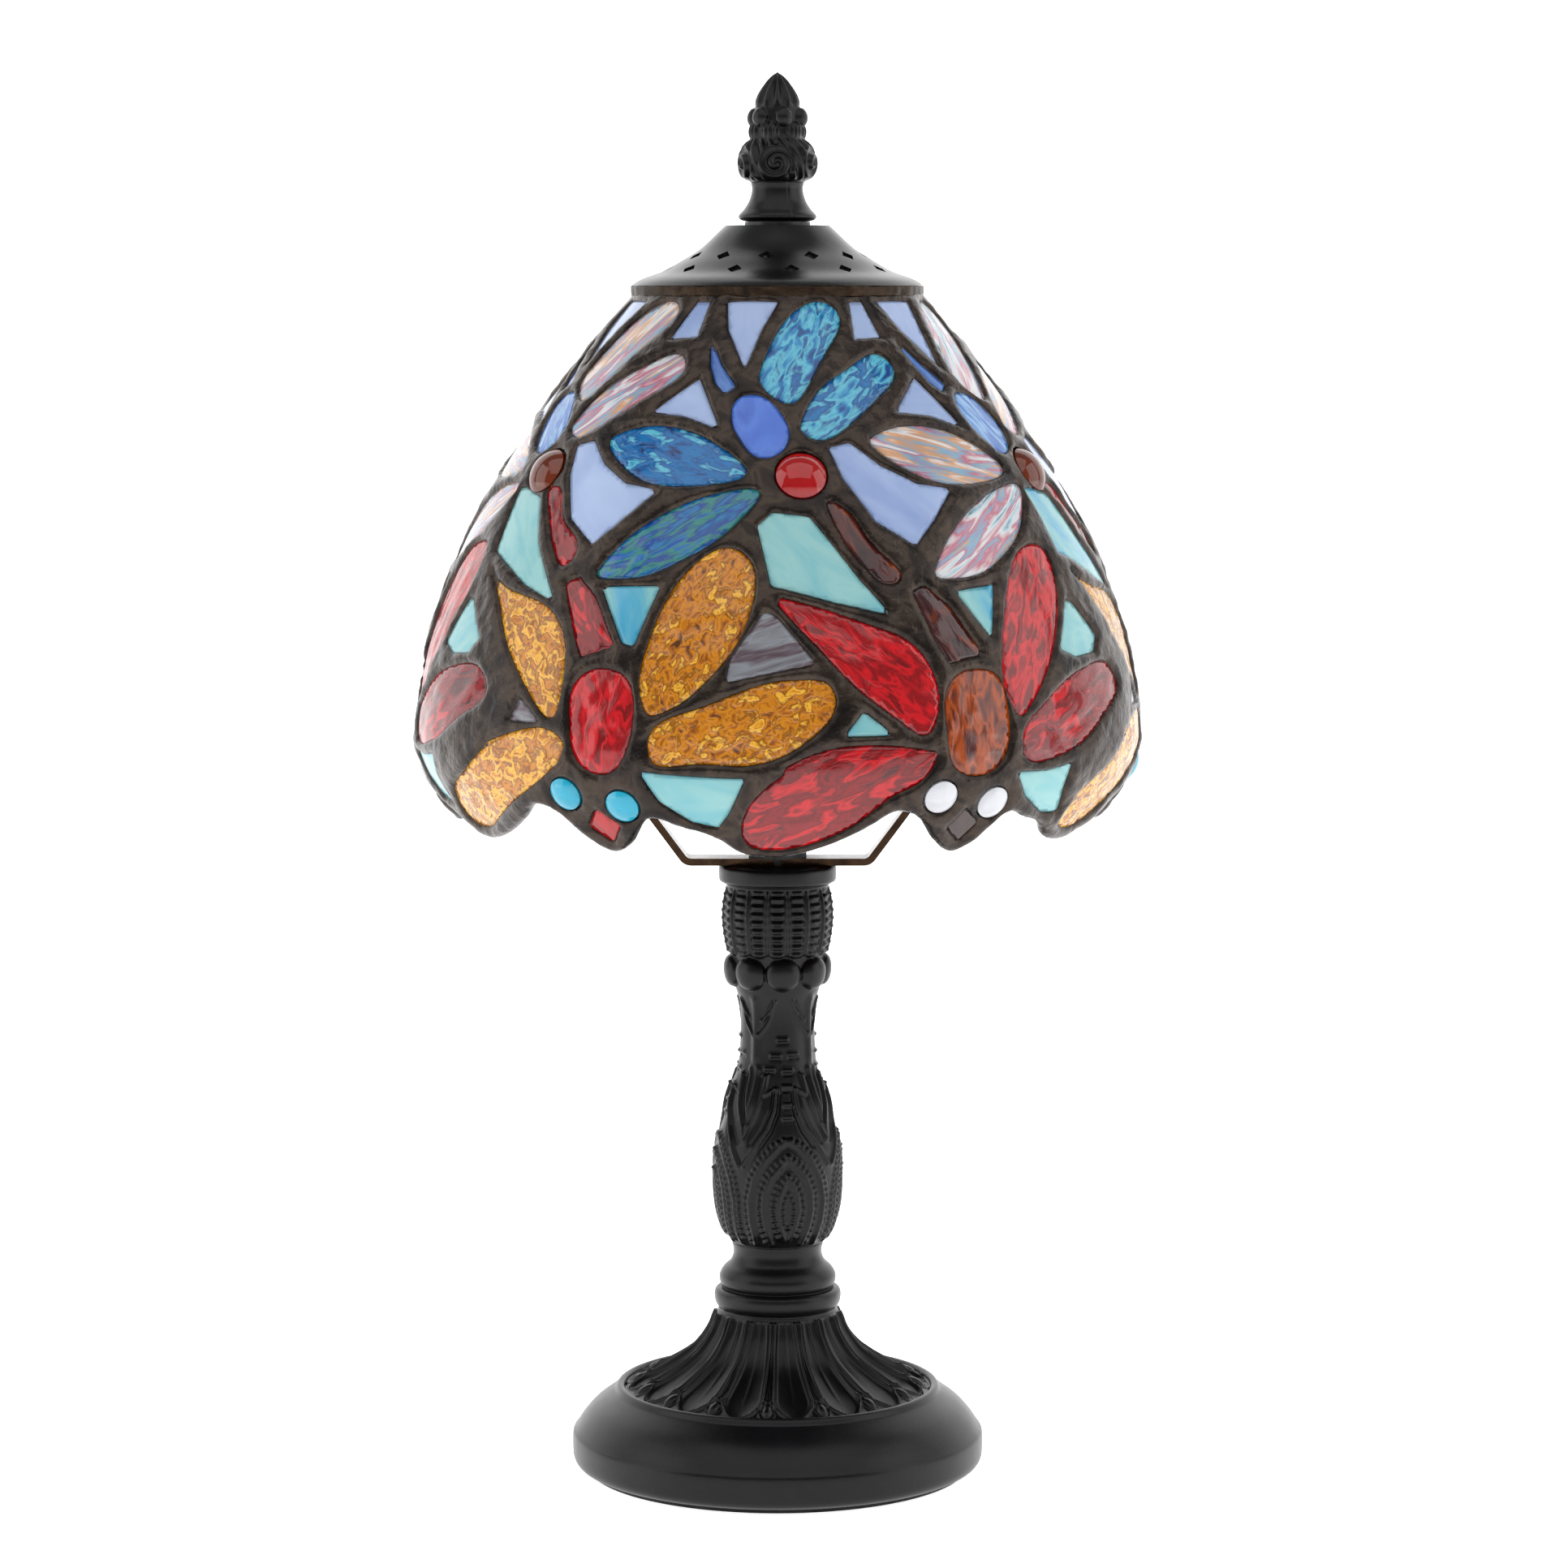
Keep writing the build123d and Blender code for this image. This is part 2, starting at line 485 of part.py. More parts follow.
def panel_leading(kind):
    """The soldered leading of one panel, with an opening for each piece of glass."""
    other = "amber" if kind == "red" else "red"
    wedge = dome_blank(LEAD_PROUD, -GLASS_THICK - LEAD_PROUD, PANEL_ARC)
    wedge = Rot(0, 0, PANEL_START - 90) * wedge - border_cutter()
    cutters = panel_cutters(kind, 0) + panel_cutters(other, -PANEL_ARC) + panel_cutters(other, PANEL_ARC)
    return (wedge - [cutter.solid() for cutter in cutters]).solids()


def shade_nodes():
    """The leading and the glass of the whole shade, by sub-part."""
    nodes = {"shade_leading": []}
    for index, kind in enumerate(("red", "amber")):
        leading = panel_leading(kind)
        glass = panel_glass(kind)
        for copy in range(PANELS // 2):
            turn = Rot(0, 0, FIRST_JEWEL + PANEL_ARC * (index + 2 * copy))
            nodes["shade_leading"] += [turn * solid for solid in leading]
            for name, pane in glass:
                nodes.setdefault(GLASS_NODES[name][index], []).append(turn * pane)
    return nodes


# ---- every sub-part, in the order in which it goes together ----
NODES = {
    "foot_casting": [foot_casting()],
    "base_weight": [base_weight()],
    "felt_pad": [disc(FELT_RADIUS, 0, FELT_THICK)],
    "cord_gland": [cord_gland()],
    "threaded_tube": [ring(TUBE_BORE, TUBE_RADIUS, TUBE_LOW_Z, TUBE_TOP_Z)],
    "tube_washer": [ring(TUBE_HOLE, 9.5, 29.6, 31)],
    "tube_nut": [hexagon(14, TUBE_RADIUS, 24, 29.6)],
    "column": [column()],
    "column_collar": [ring(TUBE_HOLE, COLLAR_RADIUS, COLUMN_TOP_Z, COLLAR_TOP_Z)],
    "harp_strap": [harp_strap()],
    "harp_lock_nut": [hexagon(14, TUBE_RADIUS, 173.5, HOLDER_LOW_Z)],
    "harp_stud": [disc(STUD_RADIUS, STUD_LOW_Z, STUD_TOP_Z)],
    "harp_stud_nut": [hexagon(10, STUD_RADIUS, 340.4, 344.4)],
    "lampholder_cap": [lampholder_cap()],
    "lampholder_sleeve": [lampholder_sleeve()],
    "lampholder_insulator": [lampholder_insulator()],
    "lampholder_shell": [lampholder_shell()],
    "lampholder_contact": [centre_contact()],
    "terminal_screws": terminal_screws(),
    "bulb_glass": [bulb_glass()],
    "bulb_stem": [bulb_stem()],
    "bulb_filament": [bulb_filament()],
    "bulb_cap": [bulb_cap()],
    "bulb_insulator": [bulb_insulator()],
    "bulb_contact": [disc(2.4, PIP_LOW_Z, 204)],
    "seat_washer": [ring(STUD_RADIUS + RUNNING, 9, 346.4 + SEAT, CAP_TOP_Z - CAP_THICK - SEAT)],
    "vent_cap": [vent_cap()],
    "top_band": [ring(38.0, 40.5, SHADE_TOP_Z, 332.2)],
    "finial_washer": [ring(STUD_RADIUS + 2 * SEAT, 9, CAP_TOP_Z, FINIAL_LOW_Z - SEAT)],
    "finial_insert": [ring(STUD_RADIUS + RUNNING, INSERT_RADIUS, FINIAL_LOW_Z, INSERT_TOP_Z)],
    "finial": [finial()],
}
NODES.update(shade_nodes())
for node, solids in NODES.items():
    save(node, solids)
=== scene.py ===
import json
import math
import bpy
import bmesh
import numpy as np
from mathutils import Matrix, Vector
from mathutils.geometry import delaunay_2d_cdt
from mathutils.kdtree import KDTree


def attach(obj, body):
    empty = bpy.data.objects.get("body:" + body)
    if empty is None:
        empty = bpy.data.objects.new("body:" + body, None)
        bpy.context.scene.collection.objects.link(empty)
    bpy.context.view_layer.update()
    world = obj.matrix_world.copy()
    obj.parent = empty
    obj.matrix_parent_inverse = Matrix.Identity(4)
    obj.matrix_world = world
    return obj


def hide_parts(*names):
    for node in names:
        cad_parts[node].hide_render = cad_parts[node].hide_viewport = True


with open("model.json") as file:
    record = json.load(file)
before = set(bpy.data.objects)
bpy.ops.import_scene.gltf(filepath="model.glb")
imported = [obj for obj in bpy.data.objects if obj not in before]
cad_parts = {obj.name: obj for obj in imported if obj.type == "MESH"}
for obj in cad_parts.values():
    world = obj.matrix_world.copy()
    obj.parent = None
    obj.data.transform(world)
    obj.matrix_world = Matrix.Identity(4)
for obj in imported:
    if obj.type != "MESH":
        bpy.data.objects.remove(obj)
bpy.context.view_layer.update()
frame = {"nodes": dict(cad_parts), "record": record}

# Looks of the table lamp with the leaded dragonfly shade. Lengths in the helpers are millimetres.
MM = 0.001
SHADE_RADIUS = 100.3     # glass, at its widest
EQUATOR_Z = 208.0
SHADE_TOP_Z = 329.4
GLASS_THICK = 3.0
GROW = 0.3               # how far a pane reaches under the solder past its opening
LIP = 0.12               # how far the solder laps over the glass
BEAD_HIGH = 1.05         # height of the solder over the glass
BEAD_RUN = 2.7           # distance over which a bead rises to its full height
FIRST_JEWEL = 4.5        # direction of the front jewel, in degrees to the right of the front
PANEL_ARC = 60           # degrees to a panel of the shade
FOIL_SINK = 0.02         # how far a pane's faces lie inside the glass
FAR = 99.0               # a distance past every edge
BASKET_PANELS = 16
BASKET_BALLS = 8
COLUMN_LEAVES = 4
FOOT_LEAVES = 16
FINIAL_BALLS = 6
FINIAL_SCROLLS = 5
SCROLL_Z = 365.4
GLAND_RADIUS = 3.95
GLAND_AT = (0, 57.9, 8)


# ---------------------------------------------------------------- shapes
def noise(points, size, seed=0):
    """Smooth value noise from -1 to 1 at points (n, 3), with features of a size."""
    p = np.asarray(points, float) / size + 37.0 + 11.7 * seed
    cell = np.floor(p).astype(np.int64)
    f = p - cell
    f = f * f * (3 - 2 * f)
    total = np.zeros(len(p))
    for dx in (0, 1):
        for dy in (0, 1):
            for dz in (0, 1):
                # an integer hash of the lattice point
                h = (cell[:, 0] + dx) * 73856093 ^ (cell[:, 1] + dy) * 19349663 ^ (cell[:, 2] + dz) * 83492791
                h = (h * 2654435761 + seed * 40503) & 0xFFFFFF
                h = ((h >> 7) * 6151 + h * 31) & 0xFFFF
                w = np.where(dx, f[:, 0], 1 - f[:, 0]) * np.where(dy, f[:, 1], 1 - f[:, 1])
                w = w * np.where(dz, f[:, 2], 1 - f[:, 2])
                total += w * (h / 32767.5 - 1)
    return total


def make_object(name, verts_mm, faces, smooth=True):
    """Mesh object from millimetre vertices and a list of faces."""
    mesh = bpy.data.meshes.new(name)
    mesh.from_pydata((np.asarray(verts_mm) * MM).tolist(), [], faces)
    mesh.validate()
    mesh.polygons.foreach_set("use_smooth", [smooth] * len(mesh.polygons))
    mesh.update()
    obj = bpy.data.objects.new(name, mesh)
    bpy.context.scene.collection.objects.link(obj)
    return obj


def curve_points(points, step):
    """Points every step mm along a smooth curve through points; a repeated point keeps a corner sharp."""
    pts = np.asarray(points, float)
    runs, start = [], 0
    for i in range(1, len(pts)):
        if np.allclose(pts[i], pts[i - 1]):
            runs.append(pts[start:i])
            start = i
    runs.append(pts[start:])
    out = []
    for run in runs:
        if len(run) == 2:
            dense = run
        else:
            ends = np.vstack([2 * run[0] - run[1], run, 2 * run[-1] - run[-2]])
            dense = []
            for a, b, c, d in zip(ends[:-3], ends[1:-2], ends[2:-1], ends[3:]):
                for t in np.linspace(0, 1, 12, endpoint=False):
                    dense.append(0.5 * (2 * b + (c - a) * t + (2 * a - 5 * b + 4 * c - d) * t * t
                                        + (3 * b - a - 3 * c + d) * t ** 3))
            dense = np.vstack([dense, run[-1]])
        length = np.r_[0, np.cumsum(np.linalg.norm(np.diff(dense, axis=0), axis=1))]
        count = max(2, int(round(length[-1] / step)) + 1)
        at = np.linspace(0, length[-1], count)
        out.append(np.column_stack([np.interp(at, length, dense[:, k]) for k in (0, 1)]))
    return np.vstack(out)


def lathe(name, profile, columns, relief=None, closed=True):
    """Turned piece from (radius, height) rows, with relief(angle, radius, height) in mm along the normal."""
    rows = np.asarray(profile, float)
    ahead, behind = np.roll(rows, -1, 0), np.roll(rows, 1, 0)
    if not closed:
        ahead[-1], behind[0] = rows[-1], rows[0]
    run = ahead - behind
    run /= np.maximum(np.linalg.norm(run, axis=1, keepdims=True), 1e-9)
    normal = np.column_stack([run[:, 1], -run[:, 0]])
    angle = np.linspace(0, 2 * math.pi, columns, endpoint=False)
    a, r = np.meshgrid(angle, rows[:, 0])
    z = np.repeat(rows[:, 1:2], columns, 1)
    rise = relief(a, r, z) if relief else np.zeros_like(a)
    radius = r + rise * normal[:, 0:1]
    height = z + rise * normal[:, 1:2]
    verts = np.stack([radius * np.sin(a), -radius * np.cos(a), height], -1).reshape(-1, 3)
    faces = []
    count = len(rows)
    for i in range(count if closed else count - 1):
        j = (i + 1) % count
        base, over = i * columns, j * columns
        for k in range(columns):
            beside = (k + 1) % columns
            faces.append((base + k, base + beside, over + beside, over + k))
    if not closed:
        faces.append(tuple(range(columns))[::-1])
        faces.append(tuple((count - 1) * columns + k for k in range(columns)))
    return make_object(name, verts, faces)


def stroke(x, y, points, width, high, bead=0.0):
    """Raised line through points on a surface laid out as x, y, beaded every bead mm."""
    best = np.full(x.shape, 1e9)
    along = np.zeros(x.shape)
    gone = 0.0
    for (ax, ay), (bx, by) in zip(points[:-1], points[1:]):
        dx, dy = bx - ax, by - ay
        length = math.hypot(dx, dy)
        t = np.clip(((x - ax) * dx + (y - ay) * dy) / length ** 2, 0, 1)
        d = np.hypot(x - ax - t * dx, y - ay - t * dy)
        along = np.where(d < best, gone + t * length, along)
        best = np.minimum(best, d)
        gone += length
    shape = np.exp(-(best / width) ** 2)
    if bead:
        shape = shape * (0.55 + 0.45 * np.cos(2 * math.pi * along / bead))
    return high * shape


def wrapped(angle, count, phase):
    """Angle from the nearest of count equal divisions, in radians."""
    part = 2 * math.pi / count
    return (angle - math.radians(phase) + part / 2) % part - part / 2


# ---------------------------------------------------------------- castings
def foot_relief(a, r, z):
    """Sixteen long leaves with raised rims down the flare, and a bud between each two."""
    top, low = 17.6, 42.6
    s = np.clip((r - top) / (low - top), 0, 1) ** 0.8
    on = ((r > top - 0.4) & (r < 43.4) & (z > 27 - 0.2 * (r - 16)) & (z < 45.4)).astype(float)
    x = wrapped(a, FOOT_LEAVES, 7.0) * r
    w = np.where(s < 0.72, 2.7 + 2.6 * s / 0.72, 5.3 * np.sqrt(np.clip(1 - ((s - 0.72) / 0.26) ** 2, 0, 1)))
    d = np.abs(x) / np.maximum(w, 0.05)
    leaf = np.where((d < 1) & (s < 0.98), -0.75 * (1 - d ** 2), 0)
    rim = 0.85 * np.exp(-((np.abs(x) - w) / 0.6) ** 2) * (s < 0.985)
    rib = 0.45 * np.exp(-(x / 0.5) ** 2) * np.clip(1 - s / 0.8, 0, 1)
    xb = wrapped(a, FOOT_LEAVES, 18.25) * r
    side = 0.5 * np.exp(-((np.abs(xb) - 1.4 * s - 0.5) / 0.45) ** 2)
    side = side * np.clip((s - 0.2) / 0.2, 0, 1) * (s < 0.84)
    oval = (xb / 1.5) ** 2 + ((r - 38.6) / 2.7) ** 2
    bud = 1.35 * np.sqrt(np.clip(1 - oval, 0, 1)) + 0.4 * np.exp(-((np.sqrt(oval) - 1.45) / 0.2) ** 2)
    return on * (leaf + rim + rib + side + bud)


CARTOUCHE = (
    [(1.2, 96.0), (4.2, 94.6), (8.2, 90.6), (11.4, 85.0), (12.7, 79.0), (12.0, 73.0), (10.0, 66.5)],
    [(0.4, 91.6), (3.4, 89.5), (6.4, 86.0), (8.2, 81.5), (8.5, 76.5), (7.4, 71.0), (5.6, 66.5)],
    [(0.3, 86.2), (2.6, 84.0), (4.0, 80.5), (4.5, 76.5), (3.6, 72.0), (2.2, 68.0)],
)
DASHES = ((-0.4, 123.4), (-2.4, 118.9), (2.6, 119.2), (-4.2, 115.2), (0.9, 114.7), (0.6, 110.4), (0.5, 105.6),
          (0.3, 102.2))
LEAF_RIDGES = (   # points, width and height of each; a negative height is a groove
    ([(2.4, 134.2), (3.4, 131.4), (6.2, 128.6)], 0.4, 0.6),
    ([(3.2, 134.0), (4.6, 131.6), (6.0, 129.0)], 0.35, -0.4),
    ([(3.4, 130.4), (4.6, 127.4), (7.2, 124.4)], 0.4, 0.55),
    ([(4.2, 130.0), (5.6, 127.4), (7.2, 125.2)], 0.35, -0.35),
    ([(2.5, 109.4), (3.3, 103.8), (5.4, 98.8), (8.8, 94.6), (13.0, 88.6)], 0.6, 0.95),
    ([(1.8, 108.4), (2.4, 103.4), (4.4, 98.2), (7.8, 93.8)], 0.5, -0.5),
    ([(3.3, 109.0), (4.4, 104.0), (7.0, 99.2), (11.0, 94.4)], 0.4, -0.5),
    ([(4.6, 113.6), (5.9, 108.2), (2.8, 109.8)], 0.45, 0.7),
    ([(5.4, 113.0), (7.2, 106.8), (9.6, 101.2), (12.8, 95.2)], 0.6, 0.75),
    ([(6.4, 112.6), (8.4, 106.4), (11.0, 100.0)], 0.4, -0.45),
    ([(7.4, 115.0), (9.4, 108.4), (12.2, 101.2), (13.4, 96.0)], 0.7, 0.7),
)


def column_relief(a, r, z):
    """Notched basket, ball ring, leaves and beaded pointed ovals."""
    panel = np.abs(wrapped(a, BASKET_PANELS, 0.0)) / (math.pi / BASKET_PANELS)
    scallop = 146.3 + 1.1 * panel ** 2
    notch = 0.5 + 0.5 * np.cos(2 * math.pi * (z - 147.6) / 2.2)
    tabs = 0.75 * notch * np.clip((0.7 - panel) / 0.3, 0, 1)
    edges = 0.7 * np.exp(-((panel - 1.0) / 0.13) ** 2)
    basket = np.clip((z - scallop) / 0.5, 0, 1) * np.clip((165.4 - z) / 0.6, 0, 1)
    rise = basket * (tabs + edges) + 0.3 * np.clip((z - scallop) / 0.4, 0, 1) * (z < 165.6)
    ball = wrapped(a, BASKET_BALLS, 7.5) * 13.0
    oval = (ball / 5.2) ** 2 + ((z - 141.8) / 4.6) ** 2
    rise += 2.8 * np.clip(1 - oval, 0, 1) ** 0.46 * (z < scallop)
    x = wrapped(a, COLUMN_LEAVES, 10.0) * r
    ax = np.abs(x)
    art = sum(stroke(ax, z, points, width, high) for points, width, high in LEAF_RIDGES)
    for dash_x, dash_z in DASHES:
        art += stroke(x, z, [(dash_x - 1.2, dash_z), (dash_x + 1.2, dash_z)], 0.5, 0.6)
        art -= stroke(x, z, [(dash_x - 1.2, dash_z - 1.1), (dash_x + 1.2, dash_z - 1.1)], 0.45, 0.45)
    for line in CARTOUCHE:
        inset = [(max(px - 1.5, 0.0), pz - 0.3) for px, pz in line]
        art += stroke(ax, z, inset, 0.75, 0.7) + stroke(ax, z, line, 0.62, 0.75, 1.75)
    art += stroke(ax, z, [(0, 81.0), (1.3, 78.6), (1.5, 76.0), (1.2, 73.0), (0, 71.0)], 0.5, 0.6, 1.7)
    edge = np.abs(wrapped(a, COLUMN_LEAVES, 55.0)) * r
    art += 0.8 * np.exp(-(edge / 1.3) ** 2) * np.clip((z - 112) / 6, 0, 1)
    rise += art * np.clip((136.0 - z) / 1.5, 0, 1) * np.clip((z - 64.6) / 1.0, 0, 1)
    return np.where(r > 9.0, rise, 0)


def finial_relief(a, r, z):
    """Ribbed bud, a ring of six balls, small petals and scrolls."""
    bud = 0.42 * np.cos(11 * a) * np.clip((z - 380.5) / 2, 0, 1) * np.clip((390.2 - z) / 2.5, 0, 1)
    x = wrapped(a, FINIAL_BALLS, 15.0) * 7.0
    ball = 2.1 * np.clip(1 - (x / 2.7) ** 2 - ((z - 378.0) / 2.7) ** 2, 0, 1) ** 0.5
    xp = wrapped(a, FINIAL_BALLS, 43.0) * 7.0
    oval = (xp / 3.0) ** 2 + ((z - 374.4) / 2.4) ** 2
    petal = np.clip(1 - oval, 0, 1) ** 0.6 * (1.2 + 0.22 * np.cos(2 * math.pi * xp / 1.2))
    xs = wrapped(a, FINIAL_SCROLLS, 4.0) * 10.2
    rho = np.hypot(xs + 1.0, (z - SCROLL_Z) * 1.05)
    turn = np.arctan2(z - SCROLL_Z, xs + 1.0)
    scroll = 0.55 * np.cos(2 * math.pi * rho / 3.0 + turn) * np.clip((5.6 - rho) / 1.0, 0, 1)
    flute = 0.5 * np.cos(2 * math.pi * (xs + 0.5 * z) / 3.2) * np.clip((rho - 4.6) / 1.0, 0, 1)
    globe = np.clip((z - 360.8) / 1.2, 0, 1) * np.clip((372.4 - z) / 1.2, 0, 1)
    seam = -0.25 * np.exp(-(wrapped(a, 2, 24.0) * r / 0.16) ** 2) * (z < 360.5)
    return np.where(r > 0.6, bud + ball * (z > 375.2) + petal + (scroll + flute) * globe + seam, 0)


def cut_hole(obj, radius, at, length):
    """A round hole along Y."""
    sides = 64
    turns = np.linspace(0, 2 * math.pi, sides, endpoint=False)
    ends = [[(at[0] + radius * math.cos(t), y, at[2] + radius * math.sin(t)) for t in turns]
            for y in (at[1] - length / 2, at[1] + length / 2)]
    faces = [tuple(range(sides)), tuple(range(2 * sides - 1, sides - 1, -1))]
    faces += [(i, i + sides, (i + 1) % sides + sides, (i + 1) % sides) for i in range(sides)]
    cutter = make_object("cutter", ends[0] + ends[1], faces, False)
    hole = obj.modifiers.new("hole", "BOOLEAN")
    hole.object, hole.operation, hole.solver = cutter, "DIFFERENCE", "MANIFOLD"
    cut = bpy.data.meshes.new_from_object(obj.evaluated_get(bpy.context.evaluated_depsgraph_get()))
    obj.modifiers.clear()
    obj.data = cut
    bpy.data.objects.remove(cutter)


def band_relief(a, r, z):
    """Solder lapping up over the band in blobs."""
    spot = np.stack([r * np.sin(a), -r * np.cos(a), z], -1).reshape(-1, 3)
    return np.where(r > 39.5, 0.3 * noise(spot, 3.2, 11).reshape(r.shape) - 0.1, 0)


# Half sections as (radius, height); a repeated point keeps a corner sharp.
FOOT_PROFILE = (
    (16.6, 51.6), (17.5, 50.9), (17.85, 49.4), (17.5, 47.4), (16.5, 45.7), (16.5, 45.7), (17.6, 43.6),
    (19.6, 39), (24.2, 33), (32, 27.6), (40, 23.8), (43, 22.6), (43, 22.6), (43.6, 23.9), (45.0, 23.9),
    (46.0, 22.3), (46.0, 22.3), (51.5, 18.4), (54.8, 14.9), (57.1, 11.6), (57.1, 11.6), (57.8, 10.4),
    (57.9, 7), (57.7, 4.0), (56.9, 2.4), (55.6, 1.5), (55.6, 1.5), (54, 1.5), (54, 1.5), (54, 9.5),
    (54, 9.5), (52, 13), (46, 17.5), (30, 22), (16, 26), (11, 30.9), (11, 30.9), (5.2, 31), (5.2, 31),
    (5.2, 51.6), (5.2, 51.6), (16.6, 51.6),
)
BAND_PROFILE = (
    (38.0, 329.4), (40.3, 329.4), (40.3, 329.4), (40.4, 332.1), (40.4, 332.1), (38.0, 332.2),
    (38.0, 332.2), (38.0, 329.4),
)
COLUMN_PROFILE = (
    (5.2, 51.7), (15.6, 51.7), (15.6, 51.7), (16.3, 53.4), (16.3, 55.3), (15.2, 57.2), (13.2, 59.2),
    (12.4, 61.8), (12.9, 64.6), (12.9, 64.6), (14.2, 66.8), (15.6, 69.4), (16.9, 73.8), (17.5, 78.5),
    (17.7, 84), (17.5, 90), (16.8, 94.4), (15.2, 99.5), (14.2, 105), (12.6, 110), (11.3, 113.5),
    (10.7, 118), (10.4, 124), (10.3, 129), (10.6, 133), (11.6, 136.2), (12.2, 139), (12.4, 142),
    (12.9, 145.8), (13.3, 147.2), (14.0, 150), (14.6, 154), (14.8, 157.6), (14.5, 161.5), (13.9, 164.4),
    (14.3, 165.8), (15.2, 166.4), (15.2, 166.4), (5.2, 166.4), (5.2, 166.4), (5.2, 51.7),
)
COLLAR_PROFILE = (
    (5.2, 166.5), (15.2, 166.5), (15.2, 166.5), (16.2, 167.0), (16.4, 168.2), (16.4, 170.4),
    (16.1, 171.2), (15.4, 171.5), (15.4, 171.5), (5.2, 171.5), (5.2, 171.5), (5.2, 166.5),
)
FINIAL_PROFILE = (
    (4.7, 360.5), (4.7, 349.7), (4.7, 349.7), (8.6, 349.7), (8.6, 349.7), (10.2, 350.2), (10.7, 351.3),
    (9.1, 353.2), (7.7, 355.6), (7.0, 358.4), (7.3, 360.4), (7.3, 360.4), (9.4, 362.0), (10.4, 364.2),
    (10.5, 366.8), (9.6, 369.6), (7.8, 371.6), (6.9, 373.4), (6.6, 376), (6.4, 378.5), (6.2, 380.6),
    (5.4, 383.5), (4.4, 385.4), (3.1, 387.2), (1.6, 389.2), (0.15, 390.4),
)


def castings():
    """The turned and cast pieces, each with the node it stands for."""
    foot = lathe("foot", curve_points(FOOT_PROFILE, 0.42)[::-1], 720, foot_relief)
    cut_hole(foot, GLAND_RADIUS, GLAND_AT, 16)
    band = lathe("band", curve_points(BAND_PROFILE, 0.35), 420, band_relief)
    column = lathe("column_casting", curve_points(COLUMN_PROFILE, 0.38), 420, column_relief)
    collar = lathe("collar", curve_points(COLLAR_PROFILE, 0.4), 128)
    finial = lathe("finial_casting", curve_points(FINIAL_PROFILE, 0.26), 260, finial_relief, closed=False)
    return [(foot, "foot_casting"), (band, "top_band"), (column, "column"), (collar, "column_collar"),
            (finial, "finial")]


# ---------------------------------------------------------------- glass and solder
def dome_table():
    """Arc length, radius and height up the outside of the glass."""
    z = np.arange(180.0, SHADE_TOP_Z + 0.01, 0.1)
    above = np.clip(z - EQUATOR_Z, 0, None)
    below = np.clip(EQUATOR_Z - z, 0, None)
    r = SHADE_RADIUS - 0.0094 * above ** 1.83 - 0.077 * below ** 1.6
    return np.r_[0, np.cumsum(np.hypot(np.diff(r), np.diff(z)))], r, z


ARC, ARC_R, ARC_Z = dome_table()
ARC_NR, ARC_NZ = np.gradient(ARC_Z, ARC), -np.gradient(ARC_R, ARC)


def on_dome(angle, arc, rise=0.0):
    """Points over the outside of the glass, from angle in radians and arc length in mm."""
    r = np.interp(arc, ARC, ARC_R) + rise * np.interp(arc, ARC, ARC_NR)
    z = np.interp(arc, ARC, ARC_Z) + rise * np.interp(arc, ARC, ARC_NZ)
    return np.stack([r * np.sin(angle), -r * np.cos(angle), z], -1)


def outlines(node):
    """Outlines of a glass node's outer faces as lists of (angle, arc length) rows, corners kept."""
    bm = bmesh.new()
    bm.from_mesh(frame["nodes"][node].data)
    bmesh.ops.remove_doubles(bm, verts=bm.verts, dist=2e-6)
    bm.verts.index_update()
    bm.faces.index_update()
    outer = set()
    for face in bm.faces:
        c = face.calc_center_median() / MM
        arc = np.interp(c.z, ARC_Z, ARC)
        flat = Vector((c.x, c.y, 0)).normalized() * np.interp(arc, ARC, ARC_NR)
        if face.normal.dot(Vector((flat.x, flat.y, np.interp(arc, ARC, ARC_NZ)))) > 0.35:
            outer.add(face.index)
    ahead = {}
    for face in bm.faces:
        if face.index in outer:
            for loop in face.loops:
                if sum(f.index in outer for f in loop.edge.link_faces) == 1:
                    ahead[loop.vert.index] = loop.link_loop_next.vert.index
    place = {v.index: v.co / MM for v in bm.verts}
    found = []
    while ahead:
        at = start = min(ahead)
        rows = []
        while at in ahead:
            p = place[at]
            rows.append((math.atan2(p.x, -p.y), p.z))
            at = ahead.pop(at)
        rows = np.array(rows)
        rows[:, 0] = rows[0, 0] + (rows[:, 0] - rows[0, 0] + math.pi) % (2 * math.pi) - math.pi
        rows[:, 1] = np.interp(rows[:, 1], ARC_Z, ARC)
        if at == start and len(rows) > 2:
            found.append(finer(grown(rows, GROW), 0.8))
    bm.free()
    return found


def grown(rows, by):
    """A closed outline moved outwards."""
    scale = np.array([np.interp(rows[:, 1].mean(), ARC, ARC_R), 1.0])
    flat = rows * scale
    flat = flat[np.hypot(*(flat - np.roll(flat, 1, 0)).T) > 0.05]
    x, y = flat.T
    way = np.sign(np.sum(x * np.roll(y, -1) - np.roll(x, -1) * y))
    side = np.roll(flat, -1, 0) - flat
    side /= np.hypot(*side.T)[:, None]
    normal = np.column_stack([side[:, 1], -side[:, 0]]) * way
    corner = normal + np.roll(normal, 1, 0)
    corner /= np.maximum(0.5 * np.sum(corner ** 2, 1), 0.5)[:, None]
    return (flat + by * corner) / scale


def finer(rows, step):
    """A closed outline with its long edges divided."""
    r = np.interp(rows[:, 1].mean(), ARC, ARC_R)
    out = []
    for a, b in zip(rows, np.roll(rows, -1, 0)):
        length = math.hypot((b[0] - a[0]) * r, b[1] - a[1])
        if length > 0.02:
            count = max(1, math.ceil(length / step))
            out += [a + (b - a) * t for t in np.linspace(0, 1, count, endpoint=False)]
    return np.array(out)


